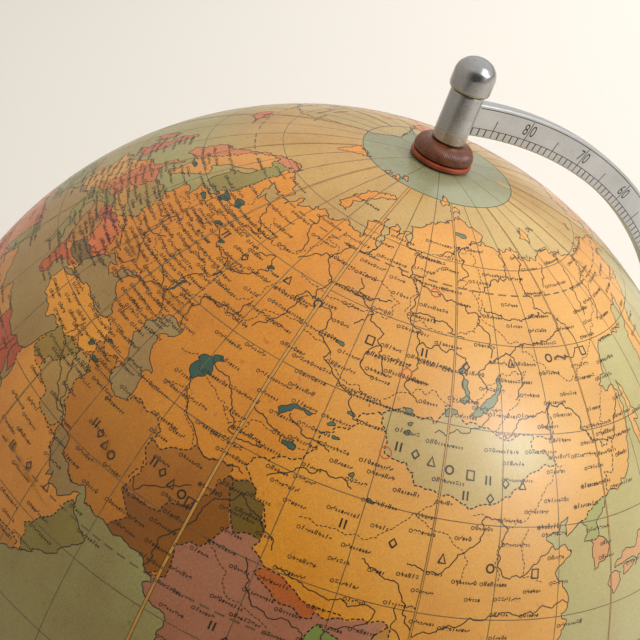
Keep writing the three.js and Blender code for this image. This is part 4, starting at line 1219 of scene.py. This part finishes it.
river_courses = """
85.2 52.5, 83.8 53.3, 81.5 53.8, 82.9 55, 84.7 56.5, 83.5 57.8, 80.5 59.5, 76.5 61, 73 61.3, 69 61,
66.5 62.5, 65.5 64, 66.6 66.4, 71.5 66.5; 87 47.5, 84 47.9, 82.6 50, 80.3 50.4, 77 52.3, 73.4 55, 74.4 57,
71.5 57.8, 68.3 58.2, 69 61;
94.4 51.7, 92 52.5, 91.4 53.7, 92.9 56, 92.5 58, 91 59, 89.5 61, 90 62.5, 88 65, 87.3 66, 86.5 68,
86 69.5, 83.5 70.5;
104.3 52.3, 102.5 54, 101.8 56.1, 102.5 57.5, 99 58.3, 94 58.1, 92.5 58; 102 60, 97 61.5, 93 61.7,
90 61.7;
108 58.5, 108 61, 105 63.5, 100.2 64.3, 94 65, 88 65.8;
106.5 54.5, 105.5 56.5, 108.1 57.8, 112 58.8, 116 60.3, 120.4 60.4, 125 60.8, 129.7 62, 129 64, 125 65,
123.4 66.8, 124.5 69, 127 71, 126.7 72.5; 113.5 54, 115.5 55.5, 114.2 57.9, 112.6 59.2; 125.4 58.6,
131 58.7, 134 60.3, 133.5 62.3, 129.8 63.5; 108 64.5, 113 63.5, 118 63.1, 121.6 63.8, 126 64.2; 108 66.5,
113 68.3, 118 68.7, 120 71, 120 73;
94 70.5, 100 72, 106 73; 99.5 66.8, 102.5 68.5, 102.5 71, 102.5 72; 133.4 67.5, 135.5 69.5, 136 71;
143 63, 145.5 65.5, 147.5 68.5, 149.5 71; 147.5 61.5, 151.5 63.5, 152.5 66.5, 157.5 67.8, 161 69.3;
33 57, 36 56.8, 38.5 58.2, 41 57.5, 44 56.3, 48.5 55.9, 49.2 54.5, 50 53.3, 48.3 53, 46.5 51.6, 45.5 50.2,
44.6 48.6, 46.5 47.5, 48 46.2; 52.5 58.5, 55 60, 56.3 58, 54 56.5, 52 55.7, 49.5 55.2; 38.9 53, 39.2 51.5,
41.5 49.8, 43.5 48.7, 41 47.6, 39.3 47.2; 32 55, 30.3 54.5, 30.5 52.5, 30.5 50.5, 33.5 49, 35 48.4,
34 46.9, 32.5 46.6;
24 49, 27 48.5, 29.5 47, 30.3 46.3; 9 48, 13 48.7, 16.4 48.2, 18.9 47.8, 19 46, 20.5 44.8, 22.7 44.5,
25 43.7, 28 44.3, 28 45.4, 29.7 45.2; 58.5 54, 58.6 51.2, 55.1 51.8, 51.4 51.2, 51.9 49, 51.9 47; 58 62,
57 64.5, 55 66, 53 67.7, 54.3 68.3;
46.6 61.2, 43.5 62.5, 41.5 63.7, 40.5 64.6; 74 41, 70.5 40.6, 69 40.8, 67.8 43, 65.5 44.8, 62 45.8,
61 46.3;
73.5 37.5, 71.5 37.8, 69.5 37.2, 67 37.3, 64.4 38.8, 61.5 41, 60.3 42, 59.5 43.6; 83 43.5, 80 43.9,
77 44.3, 75 45.4;
76 42.5, 73 43.7, 69.5 44.8; 76.5 38.5, 79.5 40.3, 82.5 41.1, 86 41.1, 88 40.5;
121 53.3, 125.6 53.1, 127.5 50.3, 130.7 48.6, 135 48.5, 137 50.6, 140.5 53; 110.5 49.2, 113.5 51.5,
118 52.3, 121 53.3;
119.5 49.5, 119.8 51.5, 121 53.3; 98 48.7, 102 49.2, 106 50.3, 107.6 51.8, 106.7 52.3;
97 35, 102 34, 103.8 36.1, 106.5 38.5, 107.5 40.7, 111 40.3, 110.4 37.5, 110.4 34.7, 114 34.9, 118.5 37.6;
91 34, 97 32.5, 100 27.5, 104.5 28.8, 107 29.7, 111.5 30.7, 114.3 30.6, 118 31.3, 121.5 31.7;
97 30.5, 99.5 25, 101 21.5, 102 18, 105.5 15, 106 11.5, 106.7 10; 78.5 30, 80.5 26.5, 83 25.3, 87 25.4,
88.7 24, 90.5 22.7;
82 30.4, 88 29.3, 94.5 29.5, 95 27.8, 90.5 26, 89.8 24, 90.5 22.7; 81 32, 77.5 34.2, 74.6 35.5, 72 34,
71 31.5, 69 28.5, 68 25.5, 67.5 24; 40.2 37.9, 43.1 36.3, 44.4 33.3, 46.5 31.8, 48.5 30; 39.5 39.5,
38.2 37, 40 35.3, 42.5 34, 44.4 32, 46.5 31, 47.6 31; 68 34, 64.5 31.5, 62.5 30.3, 61.6 31; 33 4,
31.5 9.5, 32.5 15.6, 33.8 18, 31 20, 33 24, 31 28, 31.2 30, 31 31.4; 27 -11, 26 -2, 22 2, 17.5 0,
15.3 -4.3, 12.4 -6; -10 9.5, -5 14, -1 16.8, 2 13.5, 5.5 9, 6.5 4.5;
23 -13, 25.5 -17.8, 30 -15.7, 36 -18.7; 148 -36.5, 144 -35.5, 139.5 -35; -95 47, -91.2 43, -90.2 38.7,
-91 33, -89.5 29.3;
-111 46, -104 48, -97 42.8, -90.2 38.7; -117 61.3, -125 65, -134.5 68.8; -74 -6, -70 -4, -60 -3, -52 -1.5;
-50 -20, -54.5 -25.5, -59 -27.5, -60.5 -32.5, -58.4 -34; 65 57, 66.5 58.3, 68.3 58.2; 62 51.5, 65 54,
65.5 56.5, 67.5 58;
77.5 57.5, 80 58.8, 80.5 59.5; 86.5 53, 86 55.3, 84.7 56.5; 75 63, 77 62, 77.5 61; 84 62, 80 61.3, 77 61;
87.3 66, 84 65.8, 82 66.5; 45 60.5, 48 61, 50 61.7; 34 52.5, 32 51.5, 30.6 50.7; 27 53, 29 54, 30.3 52.4;
60 61.5, 62 63.5, 65 63.8
"""


def print_rivers_and_coasts():
    coast, river = Ink(0.035), Ink(0.03)
    for outline in lands:
        loop = np.vstack([outline, outline[:1]])
        for run in np.split(loop, np.flatnonzero(loop[:, 1] < -79) + 1):
            coast.stroke(run[run[:, 1] > -79], 0.32)
    for outline in lakes:
        coast.stroke(np.vstack([outline, outline[:1]]), 0.26)
    coast.piece("printed_coasts", line_ink)
    for text in river_courses.split(";"):
        river.stroke(surveyed(trail(text), False, 0.2), 0.31)
    river.piece("printed_rivers", line_ink)


def print_borders():
    """Dashes along each country's outline, on land only and not where a later country covers it."""
    border = Ink(0.04)
    for place, (_, outline) in enumerate(nations):
        later = [other for _, other in nations[place + 1:]]

        def wanted(spots, later=later):
            seen = on_land(spots) & ~on_lake(spots)
            for nudge in ((0.3, 0), (-0.3, 0), (0, 0.3), (0, -0.3)):
                for other in later:
                    seen &= ~inside(spots + nudge, other)
            return seen

        border.dash(np.vstack([outline, outline[:1]]), 0.42, 1.1, 0.55, wanted)
    border.piece("printed_borders", line_ink)


provinces = """47 48, 48.5 50, 52 51.5, 58 51, 61.5 51.5, 61.5 54, 68 55, 71 54.3, 77 53.3, 80 50.8,
83.5 51, 87 49.2;
56 45, 58.5 45.5, 61 44.3, 66 43, 68 41.3, 71 42.8, 74 43, 79.5 42.7; 56 41.3, 60 42.2, 62 40, 66 37.5;
71 42.8, 70 40.5, 67 39.5; 106 73, 108 69, 106 64, 110 61.5, 115 60.5, 120 58, 128 55.7, 135 58, 143 61.5,
155 66, 160 69;
99 52.5, 104 53, 107 55, 111 56.5, 116 57, 114 53.5, 108 50; 89 51, 93 52.5, 97 53, 98.5 52; 46 63.5,
52 61, 58 61.5, 62 66, 65 68; 62 66, 70 63.5, 80 64, 85 62, 85 60, 75 59, 62 60; 80 72, 85 70, 96 70.5,
105 72; 88 61, 97 60, 105 61, 106 66, 97 69, 88 66, 88 61; 30 62, 36 61, 37.5 63, 35 66.3; 160 69.5,
162 66, 172 63, 178 62; 131 48, 135 54, 141 58; 24 56, 28 57, 32 55, 31 53, 34 51, 38 50, 39 47.5; 24 59,
28 58, 28 57; 28 48, 30 46; 40 55, 44 54, 48 53, 52 53.5, 56 53, 59 55, 60 59;
100 42, 97 40, 93 36.5, 88 36, 82 36; 97 40, 103 38, 106 36, 104 33; 106 41, 112 40, 116 42, 119 45,
122 47; 110 38, 110 34;
114 40, 114 35, 118 34; 74 30, 78 26, 84 24; 0 40, 2 46; -100 31, -100 49; -114 31, -114 49; -90 30,
-90 47; 129 -14, 129 -32;
141 -11, 141 -38; 138 -26, 129 -26; -60 -2, -52 -14, -48 -24; 30 -4, 24 -16"""


def print_provinces():
    """Short thin dashes inside the larger countries."""
    province = Ink(0.032)
    for text in provinces.split(";"):
        province.dash(surveyed(trail(text), False, 0.2), 0.24, 0.9, 0.5, on_land)
    province.piece("printed_provinces", line_ink)


print_rivers_and_coasts()
print_borders()
print_provinces()


def print_seams():
    """Where gores meet: a band of the next strip's margin, with darker edges that are partly the joint's own
    dark line and partly painted shade at the step between strips.
    """
    edges_and_shade, pale = Ink(0.055), Ink(0.05)
    for lon in range(10, 361, 30):
        # At 100 east the band is narrower, so that the seam reads as a darker line: painted shade along the
        # joint.
        margin = {70: 1.0, 100: 0.6}.get(lon, 0.45)
        pale.stroke(meridian(lon), margin)
        width = np.cos(np.radians(meridian(lon)[:, 1]))
        # Dark lines along both edges of the band: partly the joint's own dark line, partly painted shade.
        for side in (-1, 1):
            edge = meridian(lon)
            edge[:, 0] += side * np.degrees(margin / 2000 / ball_radius) / width
            edges_and_shade.stroke(edge, 0.15)
    for pole in (1, -1):
        edges_and_shade.stroke(parallel(80.0 * pole), 0.22)
    pale.piece("seam_margins", map_ink("margin_ink", "cf9640", "b4803a"))
    edges_and_shade.piece("seam_edges_and_shade", line_ink)


print_seams()

# ---- Names and towns ----------------------------------------------------------------------------
# Towns are small rings, some of them filled. Rows of small marks stand for their names: slants,
# steps, zigzags, bars, diamonds and arches, set along the parallels. None of them is a letter.

towns = """30.3 59.9 9, 37.6 55.8 6*, 44 56.3 5, 49 55.8 5, 56.3 58 4, 60.6 56.8 10*, 65.5 57.2 6,
68.3 58.2 7, 73.4 55 4, 74.4 56.9 4, 82.9 55 11*, 85 56.5 5, 86 55.3 8, 83.8 53.3 7, 85.2 52.5 5,
87.1 53.8 12, 91.4 53.7 6, 92.9 56 11, 95.7 56.2 5, 90.5 56.3 8, 98 55.9 7, 101.8 56.1 6, 104.3 52.3 8,
107.6 51.8 9, 113.5 52 5, 109.6 55.8 12, 114.2 57.9 7, 108.1 57.8 7, 129.7 62 8, 120.4 60.4 9,
121.6 63.8 8, 114 62.5 5, 123.4 66.8 8, 133.4 67.5 11, 100.2 64.3 4, 86.6 67.5 6, 88.2 69.3 7,
86.2 69.4 8, 88 65.8 11, 73.4 61.3 8, 69 61 14, 66.6 66.5 9, 64 67.5 8, 53 67.7 9, 57.2 65.1 8,
40.5 64.5 11, 33 69 9, 46.6 61.2 6, 39.9 59.2 7, 49.7 58.6 5, 53.2 56.8 7, 56 54.7 4, 61.4 55.2 12,
59 53.4 12, 58.6 51.2 4, 55.1 51.8 8, 50.1 53.2 9, 46 51.5 7, 44.5 48.7 9, 48 46.3 9, 51.9 47.1 6,
51.4 51.2 6, 45 53.2 5, 39.2 51.7 8, 36.2 50 7, 30.5 50.5 4*, 30.7 46.5 6, 39.7 47.2 6, 39 45 9,
45.7 43.3 6, 44.8 41.7 7, 44.5 40.2 7, 49.9 40.4 5*, 27.6 53.9 5, 24.1 57 4, 24.8 59.4 7, 21 52.2 8,
25 60.2 8, 18.1 59.3 9, 10.8 59.9 4, 12.6 55.7 9, 13.4 52.5 7, 14.4 50.1 5, 16.4 48.2 5, 19 47.5 9,
20.5 44.8 8, 26.1 44.4 9, 23.3 42.7 5, 23.7 38 6, 29 41 9, 32.9 39.9 6, 27.1 38.4 5, 35.3 37 5,
44.4 33.3 6, 47.8 30.5 5, 51.4 35.7 7*, 46.3 38 6, 51.7 32.7 7, 52.5 29.6 6, 59.6 36.3 6, 57 30.3 6,
60.9 29.5 7, 62.2 34.3 5, 69.2 34.5 6*, 65.7 31.6 8, 67 30.2 6, 67 24.9 7, 74.3 31.6 6, 73 33.6 10,
74.8 34.1 8, 77.2 28.6 5, 76.9 43.2 8, 74.6 42.9 6, 69.2 41.3 8*, 67 39.7 9, 64.4 39.8 8, 68.8 38.6 9,
58.4 37.9 9, 53 40 11, 61.8 37.6 4, 65.5 44.8 9, 61.7 46.8 6, 67.7 47.8 11, 73.1 49.8 9, 71.4 51.2 11,
77 52.3 8, 80.3 50.4 13, 82.6 50 14, 69.1 54.9 12, 63.6 53.2 8, 75 46.8 7, 68.4 51.8 7, 63.5 49.6 6,
58 48.8 9, 76 39.5 6, 77.3 38.4 7, 79.9 37.1 6, 80.3 41.2 5, 81.3 43.9 8, 87.6 43.8 9, 89.2 42.9 7,
85.5 38.1 9, 97.5 39.9 5, 91.1 29.7 5, 94.4 51.7 5, 96.8 47.7 11, 91.6 48 6, 106.9 47.9 10, 110.1 44.9 10,
114.5 48 11, 119.7 49.2 7, 124 47.3 9, 126.6 45.8 7, 123.4 41.8 9*, 125.3 43.9 12*, 116.4 39.9 6*,
117.2 39.1 8, 125.7 39 9, 131.9 43.1 11, 135 48.5 10, 127.5 50.3 13, 137 50.6 10, 125.4 58.6 5,
143.2 59.4 7, 150.8 59.6 7"""

large_marks = """42.5 58, 50.5 57.5, 61.5 58.5, 69.8 57.8, 82.5 56.5, 93.5 57.2, 102.5 56.8, 113 58,
123.5 58.7, 135 59;
92.5 46.3, 95.3 46, 98 45.7, 101 45.2, 104.5 45, 107.5 44.7, 110.5 44.5, 113.5 44.5; 104 42.8, 108 42.8;
52.5 33, 54 32.5, 55.5 32, 57 31.5; 62.5 33.8, 64.2 33.4, 66 33, 67.8 32.6, 69.2 32.3; 88 37, 95 36.5,
102 36, 109 35.5, 116 35; 78 22, 80 21, 82 20; 44 24, 48 24, 52 24; -105 45, -98 43, -91 41, -84 40;
-110 58, -98 58, -86 60; -58 -8, -52 -9, -46 -10; 125 -24, 132 -24, 139 -24; 0 22, 10 22, 20 22"""

up_to_width = 0.62


def half_ring(x, y, size, start, sweep):
    t = np.radians(np.linspace(start, start + sweep, 7 if sweep < 300 else 13))
    return np.stack([x + size * np.cos(t), y + size * np.sin(t)], 1)


def mark_strokes(kind, height):
    """One mark of a row, as lines in millimetres from its lower left corner: two slants, a step,
    a diamond, a zigzag, a leaning bar, two level bars, or a low arch over a dot. None is a letter."""
    wide = height * up_to_width
    middle = height / 2
    slant = np.array([[0.0, 0.0], [wide * 0.35, height]])
    level = np.array([[0.0, 0.0], [wide, 0.0]])
    dot = np.array([[wide * 0.4, 0.0], [wide * 0.6, 0.0]])
    return (
        [slant, slant + [wide * 0.6, 0.0]],
        [np.array([[0.0, 0.0], [0.0, middle], [wide, middle], [wide, height]])],
        [np.array([[wide / 2, 0.0], [0.0, middle], [wide / 2, height], [wide, middle], [wide / 2, 0.0]])],
        [np.array([[0.0, height * 0.3], [wide * 0.3, height * 0.9], [wide * 0.6, 0.0],
                   [wide, height * 0.6]])],
        [slant + [wide * 0.3, 0.0]],
        [level + [0.0, height * 0.25], level + [0.0, height * 0.75]],
        [half_ring(wide / 2, height * 0.4, wide * 0.5, 0, 180), dot],
    )[kind]


def ground_strokes(kind, height):
    """One widely spaced mark of a large row: a ring, bars, a triangle, a box or a diamond."""
    wide, middle = height * 0.42, height / 2
    return (
        [half_ring(0, middle, middle * 0.9, 0, 360)],
        [np.array([[side * wide * 0.6, 0.0], [side * wide * 0.6, height]]) for side in (-1, 1)],
        [np.array([[-wide, 0.0], [0.0, height], [wide, 0.0], [-wide, 0.0]])],
        [np.array([[-wide, 0.0], [-wide, height], [wide, height], [wide, 0.0], [-wide, 0.0]])],
        [np.array([[0.0, 0.0], [-wide, middle], [0.0, height], [wide, middle], [0.0, 0.0]])],
    )[kind]


def in_degrees(line, lon, lat):
    """Millimetres east and north of a place, as longitudes and latitudes."""
    return np.array([lon, lat]) + np.degrees(line / 1000 / ball_radius) / [math.cos(math.radians(lat)), 1.0]


def print_names():
    draws = np.random.default_rng(11)
    names, ground = Ink(0.045), Ink(0.045)
    spots = []
    for text in towns.split(","):
        lon, lat, count = text.split()
        spots.append((float(lon), float(lat), int(count.strip("*")), "*" in count))
    east = draws.uniform(-180, 180, 12000)
    tries = np.stack([east, np.degrees(np.arcsin(draws.uniform(-0.94, 0.96, 12000)))], 1)
    crowd = np.stack([draws.uniform(-10, 48, 1500), draws.uniform(35, 62, 1500)], 1)
    tries = np.vstack([tries, crowd])
    tries = tries[on_land(tries)]
    taken = np.array([[lon, lat] for lon, lat, _, _ in spots])
    taken = np.vstack([taken, *(trail(row) for row in large_marks.split(";"))])
    for lon, lat in tries:
        gap = (taken - [lon, lat]) * [math.cos(math.radians(lat)) * 0.5, 1.0]
        crowded = 0.8 if -10 < lon < 48 and 35 < lat < 62 else 1.5
        if np.min(np.hypot(*gap.T)) > crowded:
            spots.append((lon, lat, int(draws.integers(4, 10)), False))
            taken = np.vstack([taken, [lon, lat]])
    for lon, lat, count, capital in spots:
        size = 0.62 if capital else 0.52
        ring = in_degrees(half_ring(0, 0, size, 0, 450), lon, lat)
        names.stroke(ring, 0.2)
        if capital:
            names.stroke(in_degrees(half_ring(0, 0, 0.16, 0, 450), lon, lat), 0.34)
        x, height = 0.95, (1.6 if capital else 1.4)
        for place in range(count):
            tall = height if place == 0 or draws.random() < 0.22 else height * 0.66
            for line in mark_strokes(int(draws.integers(0, 7)), tall):
                names.stroke(in_degrees(line + [x, -0.45], lon, lat), 0.33 if capital else 0.27)
            x += tall * up_to_width + 0.38
    names.piece("printed_names", line_ink)
    for row in large_marks.split(";"):
        for place, (lon, lat) in enumerate(trail(row)):
            for line in ground_strokes((place * 3 + 1) % 5, 2.8):
                ground.stroke(in_degrees(line + [0.0, -1.4], lon, lat), 0.55)
    ground.piece("printed_large_marks", line_ink)


def print_rings():
    """Thin red rings that pick out a few regions."""
    red = Ink(0.05)
    for lon, lat, size in ((94, 65, 1.6), (91, 54.3, 1.6), (90.8, 45.3, 1.8)):
        red.stroke(in_degrees(half_ring(0, 0, size, 0, 360), lon, lat), 0.3)
    red.piece("printed_red_rings", map_ink("red_line_ink", "b8331f", "c4512f"))


print_names()
print_rings()
